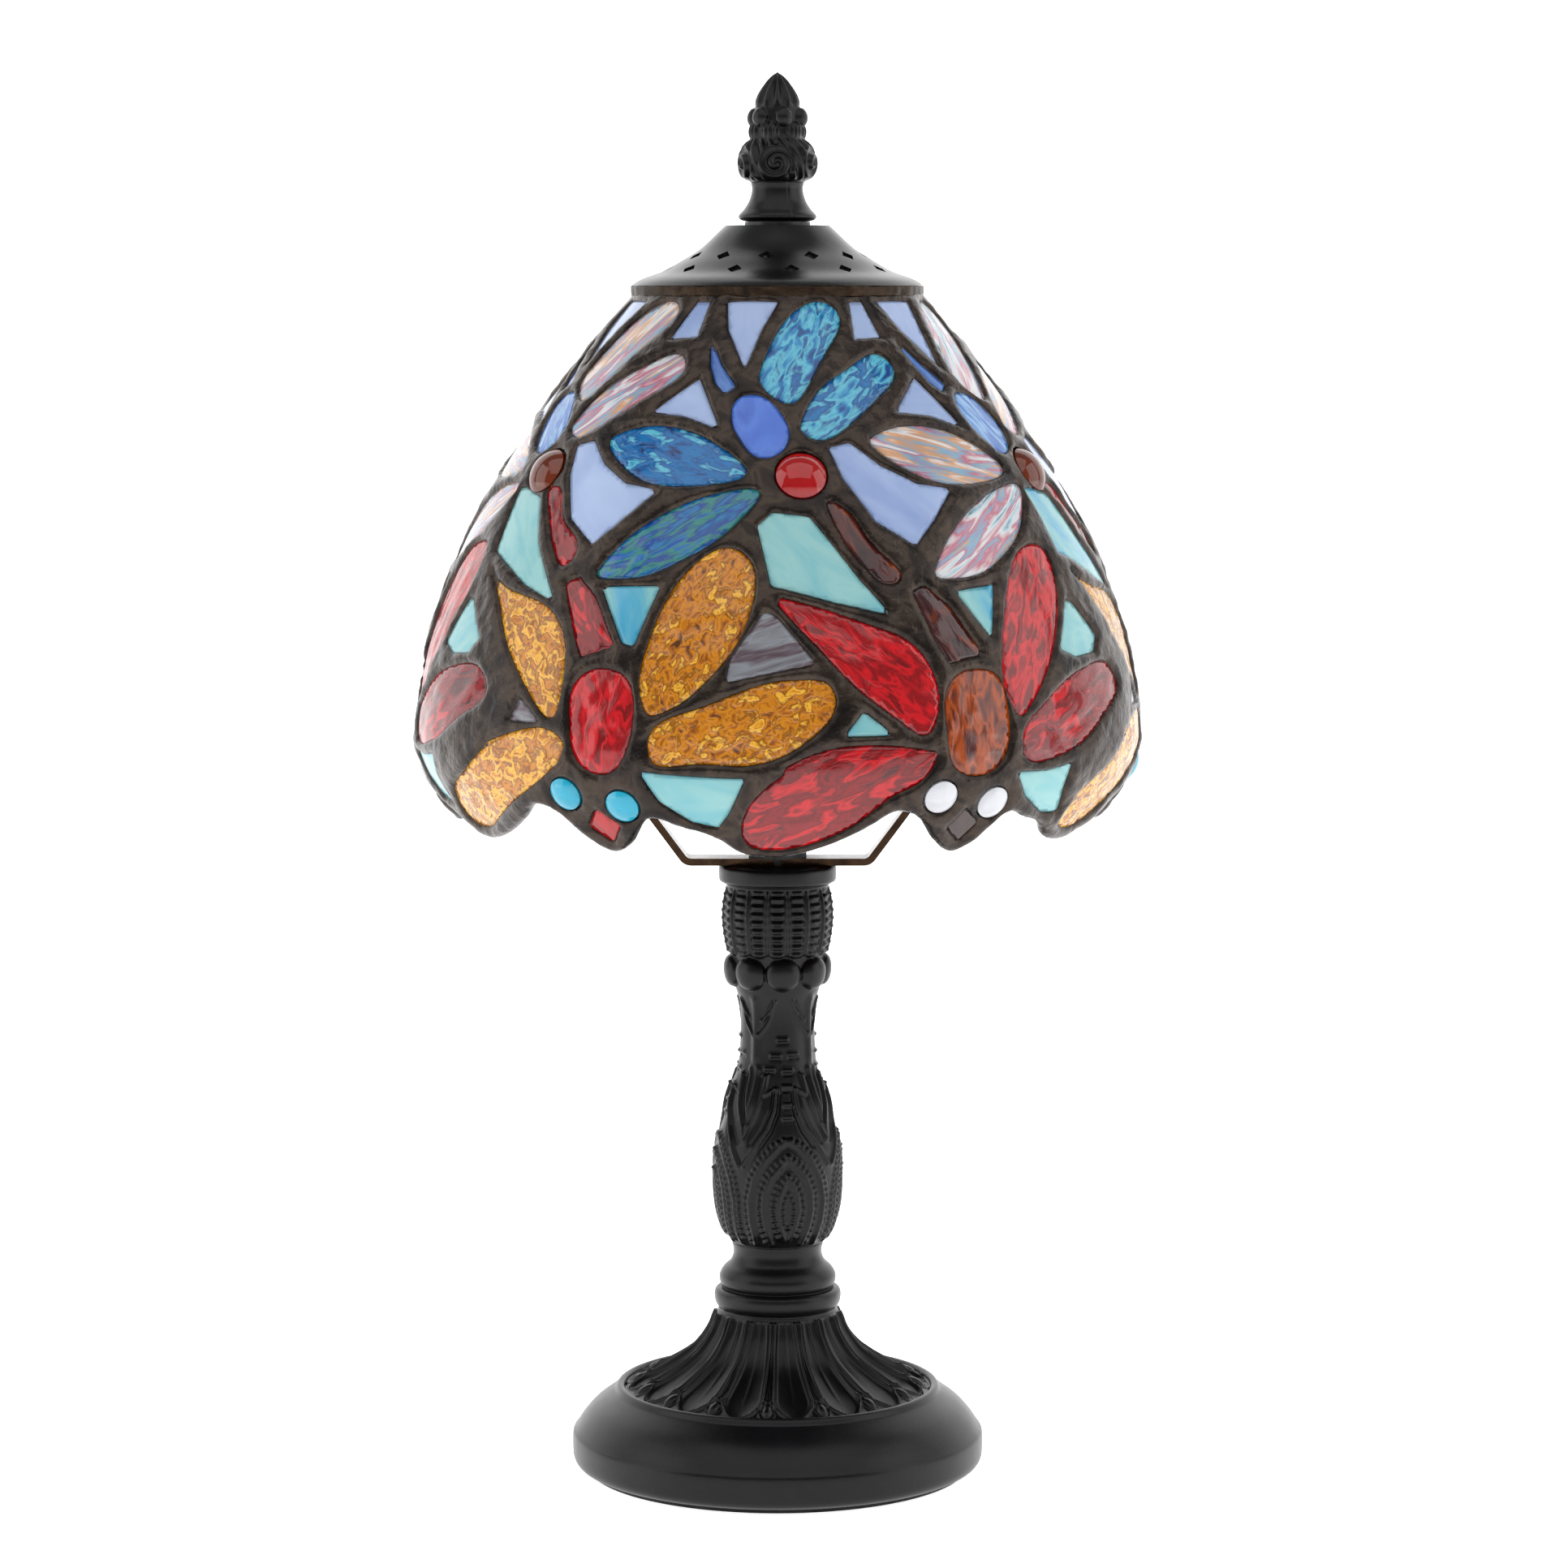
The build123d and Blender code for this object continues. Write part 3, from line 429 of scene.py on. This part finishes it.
def inside(x, y, poly):
    """Which points lie inside a closed outline."""
    hit = np.zeros(len(x), bool)
    for (ax, ay), (bx, by) in zip(poly, np.roll(poly, -1, 0)):
        if ay != by:
            hit ^= ((ay > y) != (by > y)) & (x < (bx - ax) * (y - ay) / (by - ay) + ax)
    return hit


def pane_object(name, loops, relief, high, space=1.35, seed=1, by_height=False):
    """The panes of one glass as solid pieces, with relief of a height on both faces."""
    rng = np.random.default_rng(seed)
    verts, faces, grain, tone = [], [], [], []
    count = 0
    for loop in loops:
        mid, arc_mid = loop[:, 0].mean(), loop[:, 1].mean()
        r = np.interp(arc_mid, ARC, ARC_R)
        edge = np.column_stack([(loop[:, 0] - mid) * r, loop[:, 1] - arc_mid])
        low, top = edge.min(0), edge.max(0)
        gx, gy = np.meshgrid(np.arange(low[0], top[0], space), np.arange(low[1], top[1], space * 0.87))
        gx = gx + (np.arange(gx.shape[0]) % 2)[:, None] * space / 2
        pts = np.column_stack([gx.ravel(), gy.ravel()])
        pts = pts[inside(pts[:, 0], pts[:, 1], edge)]
        if len(pts):
            gap = np.sqrt(((pts[:, None] - edge[None]) ** 2).sum(-1).min(1))
            pts = pts[gap > space * 0.45]
        flat = np.vstack([edge, pts])
        vs, _, tris, *_ = delaunay_2d_cdt([Vector(p) for p in flat], [], [list(range(len(edge)))], 1, 1e-5)
        vs = np.array([(v.x, v.y) for v in vs])
        gap = np.sqrt(((vs[:, None] - edge[None]) ** 2).sum(-1).min(1))
        spread = vs - vs.mean(0)
        axis = np.linalg.svd(spread[rng.permutation(len(spread))[:400]], full_matrices=False)[2][0]
        turned = np.column_stack([spread @ axis, spread @ np.array([-axis[1], axis[0]])])
        shift = rng.uniform(-40, 40, 2)
        local = np.column_stack([turned + shift, np.full(len(turned), rng.uniform(-30, 30))])
        rise = high * relief(local) * np.clip(gap / 2.0, 0, 1)
        angle, arc = vs[:, 0] / r + mid, vs[:, 1] + arc_mid
        outer = on_dome(angle, arc, rise - FOIL_SINK)
        inner = on_dome(angle, arc, -GLASS_THICK + FOIL_SINK - 0.6 * rise)
        n = len(vs)
        used = {}
        for t in tris:
            faces.append(tuple(count + k for k in t))
            faces.append(tuple(count + n + k for k in reversed(t)))
            for a, b in zip(t, t[1:] + t[:1]):
                used[(a, b)] = True
        for a, b in used:
            if (b, a) not in used:
                faces.append((count + b, count + a, count + n + a, count + n + b))
        verts.append(np.vstack([outer, inner]))
        grain.append(np.vstack([local, local + (0, 0, 3)]))
        mood = rng.uniform(0, 1)
        if by_height:
            mood = float(np.interp(arc_mid, ARC, ARC_Z) < BODY_SPLIT_Z)
        tone.append(np.full(2 * n, mood))
        count += 2 * n
    obj = make_object(name, np.vstack(verts), faces)
    grain_layer = obj.data.attributes.new("grain", "FLOAT_VECTOR", "POINT")
    grain_layer.data.foreach_set("vector", np.vstack(grain).ravel())
    tone_layer = obj.data.attributes.new("tone", "FLOAT", "POINT")
    tone_layer.data.foreach_set("value", np.concatenate(tone))
    return obj


def ripple(p):
    """Long ripples down a pane."""
    return noise(p * (0.4, 1, 1), 2.8, 3)


def hammered(p):
    """Small close dimples."""
    return noise(p, 2.7, 5)


def rolled(p):
    """The slight waves of rolled sheet."""
    return 0.8 * noise(p, 6.0, 6)


def border_arc(angle):
    """Arc length of the shade's wavy lower edge."""
    rows = np.array([(-11.2, 185.4), (-6, 183.7), (1, 185.5), (9.5, 191.2), (14.5, 196), (18.4, 194),
                     (22, 188),
                     (26.6, 183.9), (30.4, 186.4), (34.6, 193.6), (40, 191.8), (45, 189.4)])
    before = 11.2
    rows = np.vstack([rows - (PANEL_ARC, 0), rows, rows + (PANEL_ARC, 0)])
    a = (np.degrees(angle) - FIRST_JEWEL + before) % PANEL_ARC - before
    x, y = rows[:, 0], rows[:, 1]
    slope = np.gradient(y, x)
    k = np.clip(np.searchsorted(x, a, "right") - 1, 0, len(x) - 2)
    w = x[k + 1] - x[k]
    t = (a - x[k]) / w
    z = ((2 * t ** 3 - 3 * t ** 2 + 1) * y[k] + (t ** 3 - 2 * t ** 2 + t) * w * slope[k]
         + (3 * t ** 2 - 2 * t ** 3) * y[k + 1] + (t ** 3 - t ** 2) * w * slope[k + 1])
    return np.interp(z, ARC_Z, ARC)


def nearest(tree_rows, points, at_most):
    """Distance to, and index of, the nearest row."""
    tree = KDTree(len(tree_rows))
    for i, p in enumerate(tree_rows):
        tree.insert(p, i)
    tree.balance()
    far = np.full(len(points), at_most)
    which = np.zeros(len(points), int)
    for i, p in enumerate(points):
        _, index, gap = tree.find(p)
        far[i], which[i] = gap, index
    return far, which


def solder(name, loops, columns=740, step=0.85):
    """The soldered network between the panes, a round bead over every glass edge, inside and out."""
    lowest = border_arc(np.linspace(0, 2 * math.pi, 720)).min()
    rows = int((ARC[-1] - lowest + step) / step)
    arc_line = np.linspace(lowest - step, ARC[-1], rows)
    angle_line = np.linspace(-math.pi, math.pi, columns, endpoint=False)
    a, s = (g.ravel() for g in np.meshgrid(angle_line, arc_line))
    glass = np.zeros(len(a), bool)
    for loop in loops:
        low, top = loop.min(0), loop.max(0)
        for turn in (-2 * math.pi, 0, 2 * math.pi):
            near = np.flatnonzero((a + turn > low[0]) & (a + turn < top[0]) & (s > low[1]) & (s < top[1]))
            glass[near] |= inside(a[near] + turn, s[near], loop)
    edge = np.vstack([finer(loop, 0.3) for loop in loops])
    place = on_dome(a, s)
    gap, which = nearest(on_dome(edge[:, 0], edge[:, 1]), place, FAR)
    gap = np.where(glass, -gap, gap)
    rim_angle = np.linspace(-math.pi, math.pi, 2400, endpoint=False)
    rim = np.column_stack([rim_angle, border_arc(rim_angle)])
    low_down = np.flatnonzero(s < lowest + 18)
    rim_gap = np.full(len(a), FAR)
    rim_which = np.zeros(len(a), int)
    rim_place = on_dome(rim[:, 0], rim[:, 1])
    rim_gap[low_down], rim_which[low_down] = nearest(rim_place, place[low_down], FAR)
    rim_gap = np.where(s < border_arc(a), -rim_gap, rim_gap)

    shown = ((gap > -LIP) & (rim_gap > 0)).reshape(rows, columns)
    across = shown | np.roll(shown, -1, 1)
    cell = across[:-1] | across[1:]
    all_deep = ((gap < -LIP) | (rim_gap < 0)).reshape(rows, columns)
    beside = np.roll(all_deep, -1, 1)
    cell &= ~(all_deep[:-1] & all_deep[1:] & beside[:-1] & beside[1:])

    to_edge = edge[which]
    turn = (a - to_edge[:, 0] + math.pi) % (2 * math.pi) - math.pi
    pull = (gap < -LIP)
    part = np.where(pull, LIP / np.maximum(-gap, 1e-6), 1)
    a = np.where(pull, to_edge[:, 0] + turn * part, a)
    s = np.where(pull, to_edge[:, 1] + (s - to_edge[:, 1]) * part, s)
    under = rim_gap < 0
    a = np.where(under, rim[rim_which, 0], a)
    s = np.where(under, rim[rim_which, 1], s)
    gap = np.maximum(gap, -LIP)
    rim_gap = np.maximum(rim_gap, 0)

    spot = on_dome(a, s)
    t = np.clip((gap + LIP) / BEAD_RUN, 0, 1)
    bead = np.sqrt(1 - (1 - t) ** 2)
    lump = 0.26 * noise(spot, 5.0, 1) + 0.2 * noise(spot, 2.2, 2)
    rise = BEAD_HIGH * bead * (1 + lump) - 0.05
    rise = np.minimum(rise, 1.15)
    roll = np.sqrt(1 - (1 - np.clip(rim_gap / 2.3, 0, 1)) ** 2)
    rise = rise * roll - GLASS_THICK / 2 * (1 - roll)
    lump_in = 0.2 * noise(spot, 3.6, 7)
    rise_in = (BEAD_HIGH * 0.8 * bead * (1 + lump_in) - 0.12) * roll - GLASS_THICK / 2 * (1 - roll)
    outer = on_dome(a, s, rise)
    inner = on_dome(a, s, -GLASS_THICK - rise_in)
    n = len(a)
    index = np.arange(n).reshape(rows, columns)
    right = np.roll(index, -1, 1)
    quad = np.stack([index[:-1], right[:-1], right[1:], index[1:]], -1)
    lo, up, rt, lf = (np.zeros_like(cell) for _ in range(4))
    lo[1:], lo[0] = ~cell[:-1], True
    up[:-1], up[-1] = ~cell[1:], True
    rt[:], lf[:] = ~np.roll(cell, -1, 1), ~np.roll(cell, 1, 1)
    faces = quad[cell].tolist()
    faces += (quad[cell][:, ::-1] + n).tolist()
    for mask, (i, j) in ((lo, (0, 1)), (rt, (1, 2)), (up, (2, 3)), (lf, (3, 0))):
        q = quad[mask & cell]
        faces += np.stack([q[:, j], q[:, i], q[:, i] + n, q[:, j] + n], -1).tolist()
    obj = make_object(name, np.vstack([outer, inner]), faces)
    bm = bmesh.new()
    bm.from_mesh(obj.data)
    bmesh.ops.delete(bm, geom=[v for v in bm.verts if not v.link_faces], context="VERTS")
    bmesh.ops.dissolve_degenerate(bm, dist=2e-6, edges=bm.edges)
    bm.to_mesh(obj.data)
    bm.free()
    return obj


# ---------------------------------------------------------------- finishes
def tint(red, green, blue):
    """Linear colour from display values of 0 to 255."""
    return tuple((c / 255) ** 2.2 for c in (red, green, blue)) + (1.0,)


def finish(name, tones, size, rough, bump, bump_size=None, stretch=(1, 1, 1), on_glass=False, **fixed):
    """Procedural finish. Colour wanders between the tones over patches of a size, roughness between two
    values, and a bump of a height is bump_size across. On glass the bump follows the colour instead.
    Sizes in mm; fixed goes to the shader's sockets."""
    mat = bpy.data.materials.new(name)
    mat.use_nodes = True
    nodes, links = mat.node_tree.nodes, mat.node_tree.links
    shader = nodes["Principled BSDF"]
    for socket, value in fixed.items():
        shader.inputs[socket.replace("_", " ")].default_value = value
    if on_glass:
        source = nodes.new("ShaderNodeAttribute")
        source.attribute_name = "grain"
        place, unit = source.outputs["Vector"], 1.0
    else:
        place, unit = nodes.new("ShaderNodeTexCoord").outputs["Object"], 1 / MM

    def texture(across, detail, distort=0.0):
        mapping = nodes.new("ShaderNodeMapping")
        mapping.inputs["Scale"].default_value = [unit / across / k for k in stretch]
        links.new(place, mapping.inputs["Vector"])
        tex = nodes.new("ShaderNodeTexNoise")
        tex.inputs["Scale"].default_value = 1.0
        tex.inputs["Detail"].default_value = detail
        tex.inputs["Distortion"].default_value = distort
        links.new(mapping.outputs["Vector"], tex.inputs["Vector"])
        return tex.outputs["Fac"]

    factor = texture(size, 4.0, 0.6)
    height = factor if on_glass else texture(bump_size, 2.0)
    if on_glass:
        tone = nodes.new("ShaderNodeAttribute")
        tone.attribute_name = "tone"
        shift = nodes.new("ShaderNodeMath")
        shift.operation = "MULTIPLY_ADD"
        shift.inputs[1].default_value = 0.22
        links.new(tone.outputs["Fac"], shift.inputs[0])
        links.new(factor, shift.inputs[2])
        factor = shift.outputs[0]
    ramp = nodes.new("ShaderNodeValToRGB")
    low, high = (0.34, 0.86) if on_glass else (0.3, 0.7)
    stops = ramp.color_ramp.elements
    while len(stops) < len(tones):
        stops.new(0.5)
    for k, colour in enumerate(tones):
        stops[k].position = low + (high - low) * k / (len(tones) - 1)
        stops[k].color = colour
    links.new(factor, ramp.inputs["Fac"])
    links.new(ramp.outputs["Color"], shader.inputs["Base Color"])
    spread = nodes.new("ShaderNodeMapRange")
    spread.inputs["To Min"].default_value, spread.inputs["To Max"].default_value = rough
    links.new(texture(size * 0.6, 3.0), spread.inputs["Value"])
    links.new(spread.outputs["Result"], shader.inputs["Roughness"])
    press = nodes.new("ShaderNodeBump")
    press.inputs["Strength"].default_value = 1.0
    press.inputs["Distance"].default_value = bump * MM
    links.new(height, press.inputs["Height"])
    links.new(press.outputs["Normal"], shader.inputs["Normal"])
    return mat


def glass(name, tones, size=4.0, rough=(0.08, 0.2), bump=0.22, stretch=(2.6, 1, 1), clear=0.3):
    """Streaked art glass; where the tones hold a pale stop, its streaks are painted highlights."""
    return finish(name, [tint(*t) for t in tones], size, rough, bump, stretch=stretch, on_glass=True,
                  Transmission_Weight=clear, IOR=1.5, Coat_Weight=0.15, Coat_Roughness=0.04)


def opal(name, tones, size=11.0, stretch=(2.5, 1, 1)):
    """Milky sheet glass."""
    return finish(name, [tint(*t) for t in tones], size, (0.12, 0.24), 0.04, stretch=stretch, on_glass=True,
                  Transmission_Weight=0.15, IOR=1.46, Coat_Weight=0.15, Coat_Roughness=0.08)


def metal(name, tones, size, rough, bump=0.02, bump_size=0.6, **more):
    """Bare or plated metal."""
    return finish(name, [tint(*t) for t in tones], size, rough, bump, bump_size, Metallic=1.0, **more)


def solid(name, tones, size, rough, bump=0.02, bump_size=0.6, **more):
    """Paint, plastic, felt and other opaque stuff."""
    return finish(name, [tint(*t) for t in tones], size, rough, bump, bump_size, **more)


# Blue of the rippled glass; the pale stop among the deep blues draws thin painted highlight lines across the
# ripples.
BLUE_AND_PAINTED_HIGHLIGHT_LINES = [(0, 40, 90), (2, 92, 158), (6, 120, 186), (2, 84, 152), (104, 204, 226), (10, 132, 194), (2, 72, 138)]
PEACOCK = [(4, 40, 110), (8, 88, 170), (24, 124, 176), (12, 64, 150), (54, 140, 120), (10, 104, 184),
           (8, 60, 140)]
IRIDESCENT = [(62, 92, 118), (168, 206, 220), (228, 230, 232), (196, 112, 130), (120, 176, 206),
              (220, 158, 104),
              (236, 236, 238), (88, 118, 140)]
RED = [(76, 3, 10), (138, 6, 18), (104, 5, 14), (200, 22, 32), (128, 6, 18), (164, 12, 24)]
# Amber colour of the hammered glass; its brightest stop is a painted highlight and its darkest stops are
# painted shade in the dimples.
AMBER_AND_PAINTED_LIGHT = [(86, 48, 6), (168, 96, 12), (212, 134, 20), (132, 74, 8), (248, 186, 60), (198, 120, 16),
         (110, 62, 8)]
BROWN = [(34, 16, 16), (58, 24, 24), (72, 30, 26), (110, 46, 18), (160, 70, 20), (88, 36, 18)]
STREAKY_BLUE = [(24, 70, 160), (120, 176, 226), (30, 96, 190), (150, 196, 236), (36, 110, 200)]
SKY = [(136, 158, 206), (158, 178, 218), (168, 188, 224)]
AQUA = [(66, 156, 194), (116, 180, 188), (140, 192, 192), (106, 178, 188)]
GREY = [(64, 46, 54), (112, 112, 118), (132, 136, 142), (84, 66, 74), (126, 128, 134)]
# Mottled tone of the solder; its lightest stop is a painted highlight.
SOLDER_AND_PAINTED_SHEEN = [(30, 26, 24), (44, 37, 33), (62, 52, 45), (38, 33, 30)]
BRONZE = [(20, 17, 16), (62, 48, 38), (34, 28, 25)]
BAND = [(30, 26, 24), (58, 48, 40), (40, 35, 31)]
POLISHED = (0.03, 0.08)      # roughness of cast jewels and eyes


def finishes():
    """Every finish, by the record's slot."""
    return {
        "cast_black": solid("cast_black", [(9, 9, 10), (15, 15, 17)], 14, (0.26, 0.38), 0.04, 0.5,
                            Specular_IOR_Level=0.26),
        "painted_sheet": solid("painted_sheet", [(10, 10, 11), (16, 16, 17)], 20, (0.22, 0.3), 0.015, 0.9,
                               Specular_IOR_Level=0.3),
        "iron_weight": solid("iron_weight", [(52, 50, 48), (86, 78, 70)], 5, (0.6, 0.8), 0.25, 1.6),
        "felt": solid("felt", [(16, 16, 17), (34, 34, 36)], 2, (0.9, 1.0), 0.3, 0.5, Sheen_Weight=0.3),
        "black_plastic": solid("black_plastic", [(16, 16, 17), (28, 28, 30)], 4, (0.35, 0.5), 0.03, 0.5),
        "white_ceramic": solid("white_ceramic", [(228, 224, 214), (240, 238, 230)], 6, (0.15, 0.25), 0.03,
                               2.0,
                               Coat_Weight=0.4),
        "black_insulator": solid("black_insulator", [(20, 20, 22), (34, 32, 34)], 2, (0.1, 0.25), 0.03,
                                 0.8),
        "zinc_steel": metal("zinc_steel", [(52, 53, 55), (78, 79, 80)], 5, (0.35, 0.5)),
        "dark_bronze": metal("dark_bronze", BRONZE, 16, (0.1, 0.24), 0.03, 0.8),
        "brass": metal("brass", [(186, 146, 74), (214, 176, 98)], 6, (0.18, 0.34)),
        "nickel": metal("nickel", [(180, 178, 172), (206, 204, 198)], 4, (0.15, 0.3)),
        "filament": metal("filament", [(96, 94, 92), (140, 136, 130)], 1, (0.3, 0.5), 0.05, 0.3),
        "bronze_band": metal("bronze_band", BAND, 7, (0.34, 0.5), 0.1, 1.1),
        "solder": solid("solder", SOLDER_AND_PAINTED_SHEEN, 7.0, (0.2, 0.36), 0.2, 1.5, Metallic=0.75, Specular_IOR_Level=0.7),
        "clear_glass": solid("clear_glass", [(244, 246, 246), (250, 250, 250)], 9, (0.02, 0.05), 0.02, 8,
                             Transmission_Weight=1.0, IOR=1.46),
        "glass_violet": glass("glass_violet", [(30, 62, 160), (74, 116, 206), (54, 92, 190)], 9.0, bump=0.05,
                              clear=0.1),
        "glass_streaky_blue": glass("glass_streaky_blue", STREAKY_BLUE, 3.0, stretch=(5, 1, 1)),
        "glass_blue": glass("glass_blue", BLUE_AND_PAINTED_HIGHLIGHT_LINES, 2.8, bump=0.55),
        "glass_peacock": glass("glass_peacock", PEACOCK, 3.0, bump=0.45, stretch=(3.6, 1, 1)),
        "glass_iridescent": glass("glass_iridescent", IRIDESCENT, 3.2, bump=0.4, stretch=(7, 1, 1)),
        "glass_tail_blue": glass("glass_tail_blue", [(44, 84, 170), (96, 144, 216)]),
        "glass_red": glass("glass_red", RED, 3.4, bump=0.3, clear=0.15),
        "glass_amber": glass("glass_amber", AMBER_AND_PAINTED_LIGHT, 2.7, bump=0.6, stretch=(1.3, 1, 1), clear=0.2),
        "glass_brown": glass("glass_brown", BROWN, 3.4, bump=0.25, clear=0.1),
        "glass_dark_red": glass("glass_dark_red", RED, 3.6, bump=0.25, clear=0.1),
        "glass_sky": opal("glass_sky", SKY),
        "glass_aqua": opal("glass_aqua", AQUA, 9.0),
        "glass_grey": opal("glass_grey", GREY, 4.0, (5, 1, 1)),
        "glass_jewel_red": glass("glass_jewel_red", [(176, 3, 14), (236, 7, 22)], 6, POLISHED, 0.03,
                                 clear=0.5),
        "glass_jewel_amber": glass("glass_jewel_amber", [(96, 34, 10), (170, 76, 22)], 6, POLISHED, 0.03,
                                   clear=0.5),
        "glass_eye_clear": glass("glass_eye_clear", [(206, 208, 214), (244, 244, 246)], 4, POLISHED, 0.05),
        "glass_eye_cyan": glass("glass_eye_cyan", [(8, 150, 186), (70, 214, 232)], 4, POLISHED, 0.05),
        "glass_nose_dark": glass("glass_nose_dark", [(34, 28, 28), (70, 50, 46)], 4),
        "glass_nose_red": glass("glass_nose_red", [(130, 12, 20), (190, 30, 36)], 4),
    }


# ---------------------------------------------------------------- putting it together
RIPPLED = ("upper_wings_blue", "upper_wings_peacock", "lower_wings_red", "upper_tails_blue")
HAMMERED = ("lower_wings_amber", "lower_bodies_brown", "lower_bodies_red")
BODIES = ("lower_bodies_brown", "lower_bodies_red")
BODY_SPLIT_Z = 233.0      # a thorax is below, the darker segments of its tail above
LIT_POINT = (0, 0, 0.2)   # metres
EYE_POINT = (0.0018, -1.30585, 0.3332)
EYE_TILT = 90 - 6.09      # degrees, looking slightly down
CABOCHONS = ("jewels_red", "jewels_amber", "eyes_clear", "eyes_cyan")


def node_facts():
    """(body, material slot) of every node."""
    record = frame["record"]
    body = {node: name for name, nodes in record["behaviour"]["bodies"].items() for node in nodes}
    return {part["node"]: (body[part["node"]], part["material_slot"]) for part in record["subparts"]}


def put(obj, node):
    """obj takes the place of a node: its body, slot and finish."""
    body, slot_name = FACTS[node]
    obj.data.materials.clear()
    obj.data.materials.append(FINISHES[slot_name])
    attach(obj, body)
    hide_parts(node)


def glasswork():
    """Panes and solder, from the outlines of the glass."""
    everything = []
    for number, (node, (_, slot_name)) in enumerate(FACTS.items()):
        if not slot_name.startswith("glass_"):
            continue
        loops = outlines(node)
        everything += loops
        if node in CABOCHONS:
            continue
        relief, high = rolled, 0.12
        if node in RIPPLED:
            relief, high = ripple, 0.3
        if node in HAMMERED:
            relief, high = hammered, 0.3
        put(pane_object("pane_" + node, loops, relief, high, seed=number, by_height=node in BODIES), node)
    put(solder("solder_network", everything), "shade_leading")


def carried_over():
    """The CAD pieces that stay as they are get their finish."""
    for node, obj in frame["nodes"].items():
        if not obj.hide_render:
            obj.data.materials.clear()
            obj.data.materials.append(FINISHES[FACTS[node][1]])


def backdrop():
    """Plain pale floor that curves up into a wall. Lengths in metres, bar the gap under the foot."""
    front, back, bend, top, half, gap_mm = -9.0, 1.6, 0.8, 5.0, 7.0, 0.2
    rows = [(front, 0.0), (back, 0.0)]
    for t in np.linspace(0.1, math.pi / 2, 14):
        rows.append((back + bend * math.sin(t), bend - bend * math.cos(t)))
    rows.append((2.4, top))
    verts = [(x / MM, y / MM, z / MM - gap_mm) for y, z in rows for x in (-half, half)]
    faces = [(2 * i, 2 * i + 1, 2 * i + 3, 2 * i + 2) for i in range(len(rows) - 1)]
    floor = make_object("backdrop", verts, faces)
    floor.data.materials.append(finish("floor_white", [tint(246, 246, 247), tint(250, 250, 250)], 300,
                                       (0.5, 0.6),
                                       0.0, 10, Emission_Color=(1, 1, 1, 1), Emission_Strength=0.85))


def softbox(name, at, width, height, power):
    """A soft white light that faces the lamp. Metres and watts."""
    data = bpy.data.lights.new(name, "AREA")
    data.shape = "RECTANGLE"
    data.size, data.size_y = width, height
    data.energy, data.color = power, (1, 1, 1)
    lamp = bpy.data.objects.new(name, data)
    bpy.context.scene.collection.objects.link(lamp)
    lamp.location = at
    lamp.rotation_euler = (Vector(LIT_POINT) - Vector(at)).to_track_quat("-Z", "Y").to_euler()


def lights():
    """Soft studio light from both sides and above."""
    world = bpy.data.worlds.new("studio")
    world.use_nodes = True
    world.node_tree.nodes["Background"].inputs["Color"].default_value = (1, 1, 1, 1)
    world.node_tree.nodes["Background"].inputs["Strength"].default_value = 0.3
    bpy.context.scene.world = world
    softbox("left", (-1.3, -0.25, 0.55), 1.0, 1.6, 8)
    softbox("right", (1.3, -0.25, 0.55), 1.0, 1.6, 8)
    softbox("over", (0, -0.7, 1.5), 2.2, 1.6, 12)


def camera():
    """A long lens from the front, slightly above the shade."""
    data = bpy.data.cameras.new("camera")
    data.sensor_width, data.lens = 36, 108.07
    data.clip_start, data.clip_end = 0.01, 50
    cam = bpy.data.objects.new("camera", data)
    bpy.context.scene.collection.objects.link(cam)
    cam.location = EYE_POINT
    cam.rotation_euler = (math.radians(EYE_TILT), 0, 0)
    bpy.context.scene.camera = cam
    bpy.context.scene.view_settings.view_transform = "Standard"


FACTS = node_facts()
FINISHES = finishes()
for casting, casting_node in castings():
    put(casting, casting_node)
glasswork()
carried_over()
backdrop()
lights()
camera()
